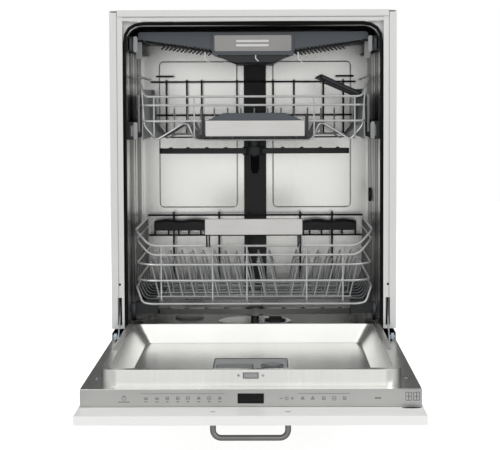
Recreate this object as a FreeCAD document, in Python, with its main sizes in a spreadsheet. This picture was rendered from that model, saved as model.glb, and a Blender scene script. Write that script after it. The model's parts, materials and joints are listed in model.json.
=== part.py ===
import FreeCAD, Part
import math
import os

# Built-in dishwasher, door open, both baskets and the cutlery tray pushed in.
# Frame: X to the right, Y to the back, Z up.  The origin lies on the floor, midway
# between the sides, in the plane of the casing's front flanges.  Millimetres.

doc = FreeCAD.newDocument("Dishwasher")
V = FreeCAD.Vector

# ---------------------------------------------------------------- driving sizes

DIMENSIONS = {
    # casing
    "body_wide": 598, "body_high": 815, "body_deep": 540, "steel": 1.0,
    "flange_wide": 27, "flange_low": 149, "flange_step": 12, "casing_low": 30,
    "kick_back": 75, "rail_high": 22, "rail_deep": 40,
    # tub
    "tub_wide": 532, "tub_top": 783, "tub_floor": 130, "tub_front": 11, "tub_rear": 505,
    "tub_corner": 36, "tub_lip": 10, "track_wide": 30, "track_top": 162.5, "track_start": 32,
    "emboss_wide": 186, "emboss_gap": 41, "emboss_low": 373.5, "emboss_high": 720,
    "emboss_proud": 2, "seal_wide": 6, "seal_deep": 6,
    # door
    "hinge_back": -3, "hinge_high": 132, "door_gap": 3.5, "door_long": 677,
    "door_thick": 31, "door_tail": 50, "door_heel": 11, "fascia_deep": 15,
    "island_wide": 529, "island_high": 29.5, "island_front": 28, "island_rear": 5,
    "island_corner": 32, "rim_side": 14.5, "rim_front": 20, "rim_rear": 12, "dish_deep": 36.5,
    "dish_slope": 27, "hinge_pin": 4, "pin_play": 0.06, "arm_thick": 6,
    "stay_pivot_fore": 62, "stay_pivot_drop": 14, "stay_long": 246, "stay_rise": 37.6,
    "stay_thick": 2.6, "stay_half": 5, "stay_in": 17.5, "stay_pin": 3, "slot_wide": 9,
    "slot_low": 157, "slot_high": 214.6, "stay_slot_long": 48,
    # furniture front and handle
    "panel_wide": 596, "panel_long": 715, "panel_thick": 16, "panel_lead": 88, "panel_gap": 0.4,
    "handle_pitch": 128, "handle_rod": 5, "handle_stand": 34, "handle_back": 43,
    # fittings in the door
    "display_wide": 45, "display_high": 17, "display_low": 6, "display_thick": 2,
    "soap_wide": 142, "soap_long": 158, "soap_left": 74, "soap_fore": 279, "soap_proud": 1.5,
    "flap_wide": 66, "flap_long": 54, "flap_thick": 2.5, "flap_gap": 0.3, "rinse_cap": 17, "cap_high": 5,
    "latch_wide": 27, "latch_high": 10.6, "latch_level": 151,
    # cutlery tray
    "tray_wide": 480, "tray_front": 45, "tray_rear": 475, "tray_top": 772, "tray_end": 17,
    "tray_low": 736, "tray_mid": 88, "tray_keel": 708, "tray_wall": 2, "tray_runner": 747,
    "badge_wide": 172, "badge_high": 48, "badge_top": 771, "badge_thick": 5,
    # upper basket
    "guide_level": 564.5, "guide_high": 37, "guide_deep": 14, "guide_front": 30,
    "guide_long": 450, "guide_play": 0.3, "guide_wall": 3.2,
    "top_front": 45, "top_rear": 478, "top_floor": 542.2, "top_rim": 680, "top_sill": 636,
    "top_wide": 452, "top_rim_wide": 494, "rim_rod": 2.6, "wire_rod": 1.8,
    "side_plate": 5.9, "side_plate_low": 560, "side_plate_high": 640,
    "plate_wide": 209, "plate_high": 34, "plate_level": 569, "plate_thick": 10,
    "shelf_wide": 98, "shelf_tilt": 24, "shelf_front": 117.5, "shelf_long": 193, "shelf_thick": 3,
    "arm_half": 212, "arm_wide": 38, "arm_high": 12, "arm_level": 515, "hub_rod": 26,
    "feed_rod": 9, "arm_centre": 270,
    # lower basket
    "low_front": 45, "low_rear": 470, "low_floor": 197, "low_rim": 352, "low_sill": 320,
    "low_wide": 442, "low_rim_wide": 506, "low_plate_level": 361, "wheel_rod": 18,
    "wheel_thick": 8, "wheel_out": 257, "wheel_front": 75, "wheel_rear": 420, "axle_rod": 3,
    "tine_rod": 1.8, "tine_high": 77, "tine_pitch": 25.4, "tine_lean": 18,
    "low_arm_level": 154, "low_arm_half": 218,
    # water circuit
    "spine_wide": 52, "spine_deep": 16, "spine_low": 175, "spine_high": 735, "sump_rod": 82,
    "sump_low": 62, "filter_rod": 34, "filter_off": 46, "filter_thick": 2.5,
    "motor_rod": 42, "motor_long": 110, "pump_rod": 34, "drain_rod": 11, "drain_long": 38,
    "inlet_rod": 13.2, "inlet_long": 18, "salt_rod": 30,
    # base
    "pan_wall": 3, "pan_high": 92, "foot_rod": 21, "foot_thick": 9, "stem_rod": 6,
    "foot_side": 262, "foot_front": 90, "foot_rear": 505, "screw_hole": 2.5,
    "bracket_long": 46, "bracket_wide": 24, "bracket_thick": 1.5,
}

sheet = doc.addObject("Spreadsheet::Sheet", "Dims")
for row, (alias, value) in enumerate(DIMENSIONS.items(), start=1):
    sheet.set("A%d" % row, alias)
    sheet.set("B%d" % row, str(value))
    sheet.setAlias("B%d" % row, alias)
doc.recompute()


class Size:
    """A length that knows its number and the sheet expression that it comes from."""

    def __init__(self, value, text):
        self.value = float(value)
        self.text = text

    def __add__(self, other):
        other = size(other)
        return Size(self.value + other.value, "(%s + %s)" % (self.text, other.text))

    def __sub__(self, other):
        other = size(other)
        return Size(self.value - other.value, "(%s - %s)" % (self.text, other.text))

    def __mul__(self, other):
        other = size(other)
        return Size(self.value * other.value, "(%s * %s)" % (self.text, other.text))

    def __truediv__(self, other):
        other = size(other)
        return Size(self.value / other.value, "(%s / %s)" % (self.text, other.text))

    def __radd__(self, other):
        return size(other) + self

    def __rsub__(self, other):
        return size(other) - self

    def __rmul__(self, other):
        return size(other) * self

    def __neg__(self):
        return Size(-self.value, "(0 - %s)" % self.text)

    def __float__(self):
        return self.value


def size(number):
    if isinstance(number, Size):
        return number
    return Size(number, "(%s)" % repr(float(number)))


class Sheet:
    """Reads a driving size by its alias, as dim.body_wide."""

    def __getattr__(self, alias):
        return Size(sheet.get(alias), "Dims." + alias)


dim = Sheet()


# ---------------------------------------------------------------- modelling helpers

nodes = {}


def bind(obj, prop, length):
    obj.setExpression(prop, size(length).text)


def place(obj, where, turn=None):
    if turn is not None:
        obj.Placement = FreeCAD.Placement(V(0, 0, 0), turn)
    for axis, length in zip("xyz", where):
        bind(obj, "Placement.Base." + axis, length)


def box(name, low, high):
    """A block between two corners, each side and its place bound to the sheet."""
    obj = doc.addObject("Part::Box", name)
    for prop, a, b in zip(("Length", "Width", "Height"), low, high):
        bind(obj, prop, size(b) - a)
    place(obj, low)
    return obj


TURNS = {
    "Z": FreeCAD.Rotation(),
    "X": FreeCAD.Rotation(V(0, 1, 0), 90),
    "Y": FreeCAD.Rotation(V(1, 0, 0), -90),
}


def rod(name, radius, length, start, along="Z"):
    """A cylinder from start towards the positive end of an axis."""
    obj = doc.addObject("Part::Cylinder", name)
    bind(obj, "Radius", radius)
    bind(obj, "Height", length)
    place(obj, start, TURNS[along])
    return obj


def join(name, parts):
    obj = doc.addObject("Part::MultiFuse", name)
    obj.Shapes = parts
    return obj


def cut(name, base, tools):
    """Base less one tool, or less several tools joined first."""
    tool = tools[0] if len(tools) == 1 else join(name + "_tools", tools)
    obj = doc.addObject("Part::Cut", name)
    obj.Base = base
    obj.Tool = tool
    return obj


def group(name, parts):
    """Several separate solids that share one node."""
    obj = doc.addObject("Part::Compound", name)
    obj.Links = parts
    return obj


def made(name, shape):
    """A sub-part whose form is worked out here from the sheet's sizes."""
    obj = doc.addObject("Part::Feature", name)
    obj.Shape = shape
    return obj


def node(label, obj):
    obj.Label = label
    nodes[label] = obj


def point(x, y, z):
    return V(float(x), float(y), float(z))


def mirror(shape):
    return shape.mirror(V(0, 0, 0), V(1, 0, 0))


def both_sides(shape):
    return [shape, mirror(shape)]


def rounded_outline(x0, x1, y0, y1, radius, level):
    """A closed wire: a rectangle with arcs at its four corners, at one height."""
    x0, x1, y0, y1, r, z = (float(n) for n in (x0, x1, y0, y1, radius, level))
    edges = []
    corners = [(x1 - r, y0 + r, -90), (x1 - r, y1 - r, 0), (x0 + r, y1 - r, 90), (x0 + r, y0 + r, 180)]
    arcs = [Part.makeCircle(r, V(x, y, z), V(0, 0, 1), a, a + 90) for x, y, a in corners]
    for this, after in zip(arcs, arcs[1:] + arcs[:1]):
        edges += [this, Part.makeLine(this.Vertexes[-1].Point, after.Vertexes[0].Point)]
    return Part.Wire(edges)


def rounded_block(x0, x1, y0, y1, z0, z1, radius):
    face = Part.Face(rounded_outline(x0, x1, y0, y1, radius, z0))
    return face.extrude(V(0, 0, float(z1) - float(z0)))


def block(x0, x1, y0, y1, z0, z1):
    low = point(x0, y0, z0)
    high = point(x1, y1, z1)
    return Part.makeBox(high.x - low.x, high.y - low.y, high.z - low.z, low)


def arc_at(before, corner, after, radius):
    """The tangent arc that rounds a corner, as its start, edge and end."""
    back = (before - corner).normalize()
    ahead = (after - corner).normalize()
    half = back.getAngle(ahead) / 2
    reach = radius / math.tan(half)
    start = corner + back * reach
    end = corner + ahead * reach
    middle_way = (back + ahead).normalize()
    middle = corner + middle_way * (radius / math.sin(half) - radius)
    return start, Part.Arc(start, middle, end).toShape(), end


def bent_rod(points, radius, bend):
    """A round wire along straight runs joined by tangent arcs."""
    corners = [point(*p) for p in points]
    edges = []
    last = corners[0]
    for before, corner, after in zip(corners, corners[1:], corners[2:]):
        start, arc, end = arc_at(before, corner, after, float(bend))
        edges += [Part.makeLine(last, start), arc]
        last = end
    edges.append(Part.makeLine(last, corners[-1]))
    path = Part.Wire(edges)
    first = (corners[1] - corners[0]).normalize()
    section = Part.Wire(Part.makeCircle(float(radius), corners[0], first))
    return path.makePipeShell([section], True, True)


def straight_rod(start, end, radius):
    start = point(*start)
    way = point(*end) - start
    return Part.makeCylinder(float(radius), way.Length, start, way)


# ---------------------------------------------------------------- shared places

side = dim.body_wide / 2
flange_edge = side - dim.flange_wide
tub_side = dim.tub_wide / 2
hinge_y = dim.hinge_back
hinge_z = dim.hinge_high
door_side = side - dim.door_gap
fascia_y = hinge_y - dim.door_long
door_low = hinge_z - dim.door_thick
stay_x = side - dim.stay_in
stay_y = hinge_y - dim.stay_pivot_fore
stay_z = hinge_z - dim.stay_pivot_drop
island_side = dim.island_wide / 2
island_y0 = fascia_y + dim.island_front
island_y1 = hinge_y - dim.island_rear
island_z = hinge_z + dim.island_high
dish_z = island_z - dim.dish_deep
panel_top = door_low - dim.panel_gap
panel_y = fascia_y - dim.panel_lead
pan_low = dim.casing_low
pan_top = pan_low + dim.pan_high


# ---------------------------------------------------------------- casing

def side_panel(name, sign):
    """One casing side: a sheet with a stepped front flange, slotted for the door's stay."""
    inner = side - dim.steel
    step = side - dim.flange_step - 3
    sheets = [
        block(inner, side, dim.kick_back, dim.body_deep, pan_low, dim.body_high),
        block(inner, side, 0, dim.kick_back, dim.flange_low, dim.body_high),
        block(step, side, 0, dim.steel, dim.flange_low, dim.body_high),
        block(flange_edge, step + 1, dim.steel * 0.6, dim.steel * 1.6, dim.flange_low, dim.body_high),
    ]
    shape = sheets[0].multiFuse(sheets[1:]).removeSplitter()
    half = dim.slot_wide / 2
    slot = block(stay_x - half, stay_x + half, -5, 5, dim.slot_low, dim.slot_high)
    pilot = Part.makeCylinder(float(dim.screw_hole), 10, point(stay_x, -5, dim.slot_high + 28), V(0, 1, 0))
    shape = shape.cut(slot).cut(pilot)
    return made(name, shape if sign > 0 else mirror(shape))


node("side_panel_left", side_panel("SideLeft", -1))
node("side_panel_right", side_panel("SideRight", 1))

node("back_panel", box(
    "Back",
    (-side + dim.steel + 0.3, dim.body_deep - dim.steel - 0.3, pan_top + 0.3),
    (side - dim.steel - 0.3, dim.body_deep - 0.3, dim.body_high - 3)))

rail_low = dim.body_high - dim.rail_high
rail_shell = box("RailBlock", (-flange_edge, -1, rail_low), (flange_edge, dim.rail_deep, dim.body_high))
rail_hollow = box(
    "RailHollow",
    (-flange_edge - 1, dim.steel, rail_low - 1),
    (flange_edge + 1, dim.rail_deep + 1, dim.body_high - 1.5))
node("front_rail", cut("FrontRail", rail_shell, [rail_hollow]))

bracket_y0 = dim.rail_deep - dim.bracket_wide


def worktop_bracket(name, x):
    """A tab on top of the casing, with one screw hole up into the worktop."""
    base = dim.body_high
    tab = box(name + "Tab", (x - dim.bracket_wide / 2, bracket_y0, base),
              (x + dim.bracket_wide / 2, bracket_y0 + dim.bracket_long, base + dim.bracket_thick))
    hole = rod(name + "Hole", dim.screw_hole, 10, (x, dim.rail_deep + 10, base - 4))
    return cut(name, tab, [hole])


bracket_x = flange_edge - 40
node("worktop_brackets", group("Brackets", [
    worktop_bracket("BracketLeft", -bracket_x), worktop_bracket("BracketRight", bracket_x)]))

# ---------------------------------------------------------------- base

pan_block = box("PanBlock", (-side + 3, dim.kick_back, pan_low), (side - 3, dim.body_deep - 2, pan_top))
pan_room = box(
    "PanRoom",
    (-side + 3 + dim.pan_wall, dim.kick_back + dim.pan_wall, pan_low + dim.pan_wall),
    (side - 3 - dim.pan_wall, dim.body_deep - 2 - dim.pan_wall, pan_top + 1))
foot_places = {
    "foot_front_left": (-dim.foot_side, dim.foot_front),
    "foot_front_right": (dim.foot_side, dim.foot_front),
    "foot_rear": (size(0), dim.foot_rear),
}
stem_top = pan_low + 78
pan_holes = [
    rod("StemHole%d" % i, dim.stem_rod + dim.pin_play, 40, (x, y, pan_low - 5))
    for i, (x, y) in enumerate(foot_places.values())]
pan_posts = [
    rod("StemPost%d" % i, dim.stem_rod + 7, 24, (x, y, pan_low))
    for i, (x, y) in enumerate(foot_places.values())]
pan_shell = cut("PanShell", pan_block, [pan_room])
drain_x = -side + 90
port_seat = dim.body_deep - 2 - dim.pan_wall - 0.3
inlet_x = side - 90
port_z = pan_low + 60
drain_hole = rod("DrainHole", dim.drain_rod + 1, 20, (drain_x, dim.body_deep - 12, port_z), "Y")
inlet_hole = rod("InletHole", dim.inlet_rod + 1, 20, (inlet_x, dim.body_deep - 12, port_z), "Y")
lead_hole = rod("LeadHole", 9, 20, (inlet_x - 70, dim.body_deep - 12, port_z), "Y")
node("base_pan", cut("BasePan", join("PanPosted", [pan_shell] + pan_posts),
                     pan_holes + [drain_hole, inlet_hole, lead_hole]))

for label, (x, y) in foot_places.items():
    pad = rod(label + "_pad", dim.foot_rod, dim.foot_thick, (x, y, 0))
    stem = rod(label + "_stem", dim.stem_rod, stem_top, (x, y, 0))
    node(label, join(label + "_whole", [pad, stem]))

weight_y1 = dim.body_deep - 2 - dim.pan_wall - 0.5
weight_blocks = [
    box("Weight%d" % i, (x, weight_y1 - 64, pan_low + dim.pan_wall), (x + 124, weight_y1, pan_low + 50))
    for i, x in enumerate((-160, 36))]
node("counterweight", group("Counterweight", weight_blocks))


def hinge_bracket(name, sign):
    """A plate outside the door's edge that carries the hinge pin."""
    x1 = side - dim.steel
    x0 = x1 - 1.6
    plate = block(x0, x1, hinge_y - 9, dim.kick_back + 30, hinge_z - 12, hinge_z + 9)
    foot = block(x0, x1, dim.kick_back + 2, dim.kick_back + 30, pan_low + 30, hinge_z - 11)
    pin = Part.makeCylinder(float(dim.hinge_pin), 12.5, point(x1 - 12.5, hinge_y, hinge_z), V(1, 0, 0))
    shape = plate.fuse(foot).fuse(pin).removeSplitter()
    return made(name, shape if sign > 0 else mirror(shape))


node("hinge_brackets", group("HingeBrackets", [hinge_bracket("HingeL", -1), hinge_bracket("HingeR", 1)]))

# ---------------------------------------------------------------- tub

def tub_outline(grow, low):
    """The tub's cross-section: flat sides and a top with two rounded corners."""
    half = float(tub_side) + grow
    top = float(dim.tub_top) + grow
    low = float(low)
    r = float(dim.tub_corner) + grow
    y = 0
    points = [V(-half, y, low), V(-half, y, top - r), V(-half + r, y, top), V(half - r, y, top),
              V(half, y, top - r), V(half, y, low)]
    left = Part.makeCircle(r, V(-half + r, y, top - r), V(0, -1, 0), 90, 180)
    right = Part.makeCircle(r, V(half - r, y, top - r), V(0, -1, 0), 0, 90)
    lines = [Part.makeLine(points[0], points[1]), left, Part.makeLine(points[2], points[3]), right,
             Part.makeLine(points[4], points[5]), Part.makeLine(points[5], points[0])]
    return Part.Face(Part.Wire(Part.__sortEdges__(lines)))


def tub_prism(grow, low, y0, y1):
    face = tub_outline(grow, low)
    face.translate(V(0, float(y0), 0))
    return face.extrude(V(0, float(y1) - float(y0), 0))


wall = float(dim.steel)
floor_low = dim.tub_floor - 3
tub_open = tub_prism(0, floor_low - 20, dim.tub_front - 1, dim.tub_rear + 1)
tub_skin = tub_prism(wall, floor_low, dim.tub_front, dim.tub_rear)
tub_flange = tub_prism(float(dim.tub_lip), dim.flange_low, dim.tub_front, dim.tub_front + dim.steel)
node("tub_wrapper", made("TubWrapper", tub_skin.fuse(tub_flange).cut(tub_open).removeSplitter()))

back_plate = tub_prism(wall, floor_low, dim.tub_rear, dim.tub_rear + dim.steel)


def embossed(x0, x1):
    y1 = dim.tub_rear
    flat = rounded_block(x0, x1, 0, dim.emboss_high - dim.emboss_low, 0, dim.emboss_proud + 0.2, 14)
    flat.rotate(V(0, 0, 0), V(1, 0, 0), 90)
    flat.translate(V(0, float(y1) + 0.2, float(dim.emboss_low)))
    return flat


emboss_out = dim.emboss_gap + dim.emboss_wide
right_panel = embossed(dim.emboss_gap, emboss_out)
node("tub_back", made("TubBack", back_plate.multiFuse(both_sides(right_panel)).removeSplitter()))

track_in = tub_side - dim.track_wide
floor_plate = block(-tub_side + 0.3, tub_side - 0.3, dim.tub_front, dim.tub_rear - 0.3, floor_low, dim.tub_floor)
track = block(track_in, tub_side - 0.3, dim.track_start, dim.tub_rear - 0.3, floor_low, dim.track_top)
track_room = block(
    track_in + 2, tub_side - 2.3, dim.track_start + 2, dim.tub_rear - 2.3, floor_low - 1, dim.track_top - 2)
well = Part.makeCylinder(float(dim.sump_rod), 30, point(0, dim.arm_centre, floor_low - 10))
floor_shape = floor_plate.multiFuse(both_sides(track)).removeSplitter()
salt_x = -150
salt_y = dim.arm_centre + 70
salt_well = Part.makeCylinder(float(dim.salt_rod) + 3.3, 30, point(salt_x, salt_y, floor_low - 10))
floor_shape = floor_shape.cut(well).cut(salt_well)
for room in both_sides(track_room):
    floor_shape = floor_shape.cut(room)
node("tub_floor", made("TubFloor", floor_shape))

# the door's seal: an inverted U in the tub's mouth, and a lip along its sill
seal_y0 = dim.tub_front - dim.seal_deep - 0.3
seal_out = tub_prism(float(dim.seal_wide) - 0.5, dim.flange_low, seal_y0, dim.tub_front - 0.3)
seal_in = tub_prism(0, dim.flange_low - 1, seal_y0 - 1, dim.tub_front)
sill = block(-tub_side + 6, tub_side - 6, dim.tub_front + 2, dim.tub_front + 10, dim.tub_floor, dim.tub_floor + 3)
node("door_seal", made("DoorSeal", Part.makeCompound([seal_out.cut(seal_in), sill])))

# ---------------------------------------------------------------- water circuit

arm_y = dim.arm_centre
sump_top = floor_low
cup = Part.makeCylinder(float(dim.sump_rod), float(sump_top - dim.sump_low), point(0, arm_y, dim.sump_low))
brim = Part.makeCylinder(float(dim.sump_rod) - 0.3, 3, point(0, arm_y, sump_top))
cup_room = Part.makeCylinder(float(dim.sump_rod) - 3.3, 200, point(0, arm_y, dim.sump_low + 3))
bearing = Part.makeCylinder(9, float(dim.low_arm_level - dim.sump_low), point(0, arm_y, dim.sump_low))
axle_low = Part.makeCylinder(5, float(dim.low_arm_level + 6 - dim.sump_low), point(0, arm_y, dim.sump_low))
sump_shape = cup.fuse(brim).cut(cup_room).multiFuse([bearing, axle_low]).removeSplitter()
node("sump", made("Sump", sump_shape))

filter_x = dim.filter_off
filter_disc = rod("FilterDisc", dim.sump_rod - 0.6, dim.filter_thick, (0, arm_y, dim.tub_floor + 0.3))
filter_seat = rod("FilterSeat", dim.sump_rod - 4, 3, (0, arm_y, dim.tub_floor - 2.5))
filter_hole = rod("FilterHole", dim.filter_rod - 12 + dim.pin_play, 20, (filter_x, arm_y, dim.tub_floor - 8))
filter_axle = rod("FilterAxle", 9.3, 20, (0, arm_y, dim.tub_floor - 8))
node("filter_plate", cut("FilterPlate", join("FilterSheet", [filter_disc, filter_seat]), [filter_hole, filter_axle]))

cup_z = dim.sump_low + 6
strainer = rod("Strainer", dim.filter_rod - 12, dim.tub_floor - cup_z, (filter_x, arm_y, cup_z))
strainer_room = rod("StrainerRoom", dim.filter_rod - 14, dim.tub_floor, (filter_x, arm_y, cup_z + 2))
collar_z = dim.tub_floor + dim.filter_thick + 0.6
collar_block = rod("Collar", dim.filter_rod - 10, 3, (filter_x, arm_y, collar_z))
neck = rod("Neck", dim.filter_rod - 12, 6, (filter_x, arm_y, dim.tub_floor - 1))
grip = box("FilterGrip", (filter_x - 14, arm_y - 2, collar_z + 2), (filter_x + 14, arm_y + 2, collar_z + 9))
cup_solid = join("FilterCup", [strainer, neck, collar_block])
cup_hollow = cut("FilterCupOpen", cup_solid, [strainer_room])
bridge = box("FilterBridge", (filter_x - 21, arm_y - 2, collar_z), (filter_x + 21, arm_y + 2, collar_z + 3))
node("micro_filter", join("MicroFilter", [cup_hollow, bridge, grip]))


def spray_arm(level, half, hub, bore):
    """Two tapering hollow-looking blades on a round hub, with raised jets along the top."""
    z0 = float(level) - float(dim.arm_high) / 2
    z1 = float(level) + float(dim.arm_high) / 2
    y = float(arm_y)
    w = float(dim.arm_wide) / 2
    outline = [V(-half, y - w * 0.55, z0), V(0, y - w, z0), V(half, y - w * 0.55, z0),
               V(half, y + w * 0.55, z0), V(0, y + w, z0), V(-half, y + w * 0.55, z0)]
    blade = Part.Face(Part.makePolygon(outline + outline[:1])).extrude(V(0, 0, z1 - z0))
    ends = [e for e in blade.Edges if abs(e.Vertexes[0].Z - e.Vertexes[-1].Z) > 1 and abs(e.Vertexes[0].X) > 1]
    blade = blade.makeFillet(6, ends)
    boss = Part.makeCylinder(float(hub), z1 - z0 + 6, V(0, y, z0 - 3))
    jets = []
    for step in (0.3, 0.5, 0.7, 0.88):
        for way in (-1, 1):
            jets.append(Part.makeCone(5, 3, 2.5, V(way * half * step, y + way * 3, z1)))
    shape = blade.fuse(boss).multiFuse(jets).removeSplitter()
    return shape.cut(bore)


low_bore = Part.makeCylinder(5 + float(dim.pin_play), 17, point(0, arm_y, dim.low_arm_level - 10))
low_rest = Part.makeCylinder(9.4, 11, point(0, arm_y, dim.low_arm_level - 10.6))
low_arm = spray_arm(dim.low_arm_level + 0.4, float(dim.low_arm_half), 20, low_bore.fuse(low_rest))
node("lower_spray_arm", made("LowerArm", low_arm))

motor_z = pan_low + dim.pan_wall + dim.motor_rod + 0.3
motor_y = arm_y - 100
motor_x = 60
housing = Part.makeCylinder(float(dim.motor_rod), float(dim.motor_long), point(motor_x, motor_y - 25, motor_z), V(1, 0, 0))
volute = Part.makeCylinder(float(dim.pump_rod) + 6, 34, point(motor_x - 34, motor_y - 25, motor_z), V(1, 0, 0))
room = Part.makeCylinder(float(dim.pump_rod), 26, point(motor_x - 30, motor_y - 25, motor_z), V(1, 0, 0))
shaft = Part.makeCylinder(4, 28, point(motor_x - 28, motor_y - 25, motor_z), V(1, 0, 0))
suction = Part.makeCylinder(14, 12, point(motor_x - 46, motor_y - 25, motor_z), V(1, 0, 0))
suction_bore = Part.makeCylinder(11, 20, point(motor_x - 47, motor_y - 25, motor_z), V(1, 0, 0))
motor = housing.fuse(volute).fuse(suction).cut(room).cut(suction_bore).fuse(shaft)
node("circulation_pump", made("CirculationPump", motor.removeSplitter()))

wheel_y = motor_y - 25
disc = Part.makeCylinder(float(dim.pump_rod) - 4, 3, point(motor_x - 10, wheel_y, motor_z), V(1, 0, 0))
boss = Part.makeCylinder(9, 18, point(motor_x - 25, wheel_y, motor_z), V(1, 0, 0))
vanes = []
for turn in range(0, 360, 60):
    vane = block(motor_x - 20, motor_x - 9, wheel_y - 1, wheel_y + 1, motor_z + 6, motor_z + dim.pump_rod - 5)
    vane.rotate(point(motor_x, wheel_y, motor_z), V(1, 0, 0), turn)
    vanes.append(vane)
eye = Part.makeCylinder(4 + float(dim.pin_play), 40, point(motor_x - 30, wheel_y, motor_z), V(1, 0, 0))
node("pump_impeller", made("Impeller", disc.fuse(boss).multiFuse(vanes).cut(eye).removeSplitter()))

drain_y0 = dim.body_deep - 90
drain_motor = rod("DrainMotor", 26, 50, (drain_x, drain_y0 - 20, port_z), "Y")
drain_pipe = rod("DrainPipe", dim.drain_rod - 1, 111, (drain_x, drain_y0 - 20, port_z), "Y")
drain_spigot = rod("DrainSpigot", dim.drain_rod, dim.drain_long, (drain_x, dim.body_deep, port_z), "Y")
drain_collar = rod("DrainCollar", dim.drain_rod + 7, 6, (drain_x, port_seat - 6, port_z), "Y")
drain_bore = rod("DrainBore", dim.drain_rod - 3, 60, (drain_x, dim.body_deep - 10, port_z), "Y")
drain_parts = [drain_motor, drain_pipe, drain_collar, drain_spigot]
node("drain_pump", cut("DrainPump", join("DrainBody", drain_parts), [drain_bore]))

valve_y1 = port_seat
valve_body = box("ValveBody", (inlet_x - 20, valve_y1 - 60, port_z - 22), (inlet_x + 20, valve_y1, port_z + 22))
valve_neck = rod("ValveNeck", dim.inlet_rod - 1, 13, (inlet_x, dim.body_deep - 12, port_z), "Y")
valve_thread = rod("ValveThread", dim.inlet_rod, dim.inlet_long, (inlet_x, dim.body_deep, port_z), "Y")
valve_bore = rod("ValveBore", dim.inlet_rod - 4, 40, (inlet_x, dim.body_deep - 10, port_z), "Y")
node("inlet_valve", cut("InletValve", join("ValveWhole", [valve_body, valve_neck, valve_thread]), [valve_bore]))

lead_x = inlet_x - 70
lead_flange = rod("LeadFlange", 13, 4, (lead_x, dim.body_deep - 1.9, port_z), "Y")
lead_barrel = rod("LeadBarrel", 8.9, 24, (lead_x, dim.body_deep - 14, port_z), "Y")
lead_bore = rod("LeadBore", 4.2, 40, (lead_x, dim.body_deep - 18, port_z), "Y")
node("power_inlet", cut("PowerInlet", join("LeadGland", [lead_flange, lead_barrel]), [lead_bore]))

tank_top = dim.tub_floor
node("softener_tank", cut(
    "Softener",
    join("SoftenerBody", [
        box("SoftenerTank", (salt_x - 62, salt_y - 60, pan_low + dim.pan_wall),
            (salt_x + 50, salt_y + 90, floor_low - 2)),
        rod("SaltNeck", dim.salt_rod + 3, 12, (salt_x, salt_y, tank_top - 12))]),
    [rod("SaltBore", dim.salt_rod - 4, 60, (salt_x, salt_y, tank_top - 40))]))

salt_plug = rod("SaltPlug", dim.salt_rod - 4 - dim.pin_play, 14, (salt_x, salt_y, tank_top - 12))
salt_disc = rod("SaltDisc", dim.salt_rod + 2, 4, (salt_x, salt_y, tank_top + 0.3))
salt_grip = box("SaltGrip", (salt_x - 22, salt_y - 3, tank_top + 4), (salt_x + 22, salt_y + 3, tank_top + 12))
node("salt_cap", join("SaltCap", [salt_plug, salt_disc, salt_grip]))

spine_half = dim.spine_wide / 2
spine_y1 = dim.tub_rear - 0.3
spine_y0 = spine_y1 - dim.spine_deep
feed_z = dim.arm_level + dim.arm_high / 2 + dim.feed_rod + 3.4
spine_shape = rounded_block(-spine_half, spine_half, 0, dim.spine_high - dim.spine_low, 0, dim.spine_deep, 9)
spine_shape.rotate(V(0, 0, 0), V(1, 0, 0), 90)
spine_shape.translate(V(0, float(spine_y1), float(dim.spine_low)))
port = block(-9, 9, spine_y0 - 1, spine_y0 + 6, feed_z - 70, feed_z + 14)
node("feed_spine", made("Spine", spine_shape.cut(port)))


# ---------------------------------------------------------------- guides for the racks

def channel(x0, x1, z0, z1, y0, y1, web):
    """A C-shaped guide that opens towards the middle of the tub."""
    lip = dim.guide_wall
    solid = block(x0, x1, y0, y1, z0, z1)
    room = block(x0 - 1, x1 - float(web), y0 - 1, y1 + 1, z0 + lip, z1 - lip)
    return solid.cut(room)


guide_x1 = tub_side - 0.3
guide_x0 = guide_x1 - dim.guide_deep
guide_y0 = dim.guide_front
guide_y1 = guide_y0 + dim.guide_long
guide_z0 = dim.guide_level - dim.guide_high / 2
guide_z1 = dim.guide_level + dim.guide_high / 2
fixed = channel(guide_x0, guide_x1, guide_z0, guide_z1, guide_y0, guide_y1, dim.guide_wall)

play = dim.guide_play
mid_x1 = guide_x1 - dim.guide_wall - play
mid_x0 = guide_x0 - 0.5
mid_z0 = guide_z0 + dim.guide_wall + play
mid_z1 = guide_z1 - dim.guide_wall - play
mid = channel(mid_x0, mid_x1, mid_z0, mid_z1, guide_y0, guide_y1, dim.guide_wall)
node("middle_guides", made("MiddleGuides", Part.makeCompound(both_sides(mid))))

run_x1 = mid_x1 - dim.guide_wall - play
run_x0 = guide_x0 - 3.5
run_z0 = mid_z0 + dim.guide_wall + play
run_z1 = mid_z1 - dim.guide_wall - play
runner = block(run_x0, run_x1, guide_y0 + 2, guide_y1, run_z0, run_z1)
node("carriage_runners", made("Runners", Part.makeCompound(both_sides(runner))))

tray_rail_z0 = dim.tray_runner - dim.guide_high / 2 + 3
tray_rail_z1 = dim.tray_runner + dim.guide_high / 2 - 3
tray_rail = channel(guide_x0 - 4, guide_x1, tray_rail_z0, tray_rail_z1, guide_y0, guide_y1, dim.guide_wall)
tray_rail = tray_rail.common(tub_prism(-0.3, floor_low, dim.tub_front, dim.tub_rear))
node("rack_guides", made("RackGuides", Part.makeCompound(both_sides(fixed) + both_sides(tray_rail))))

# ---------------------------------------------------------------- door


def tapered_dish(grow, lift):
    """The dish pressed into the inner door: a rounded mouth above a smaller rounded floor."""
    g = float(grow)
    x = float(island_side - dim.rim_side)
    y0 = float(island_y0 + dim.rim_front)
    y1 = float(island_y1 - dim.rim_rear)
    fall = float(dim.dish_slope)
    top = rounded_outline(-x - g, x + g, y0 - g, y1 + g, 24 + g, float(island_z) + lift)
    low = rounded_outline(-x + fall - g, x - fall + g, y0 + fall - g, y1 - fall + g, 14 + g, float(dish_z) - g)
    return Part.makeLoft([low, top], True, True)


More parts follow.
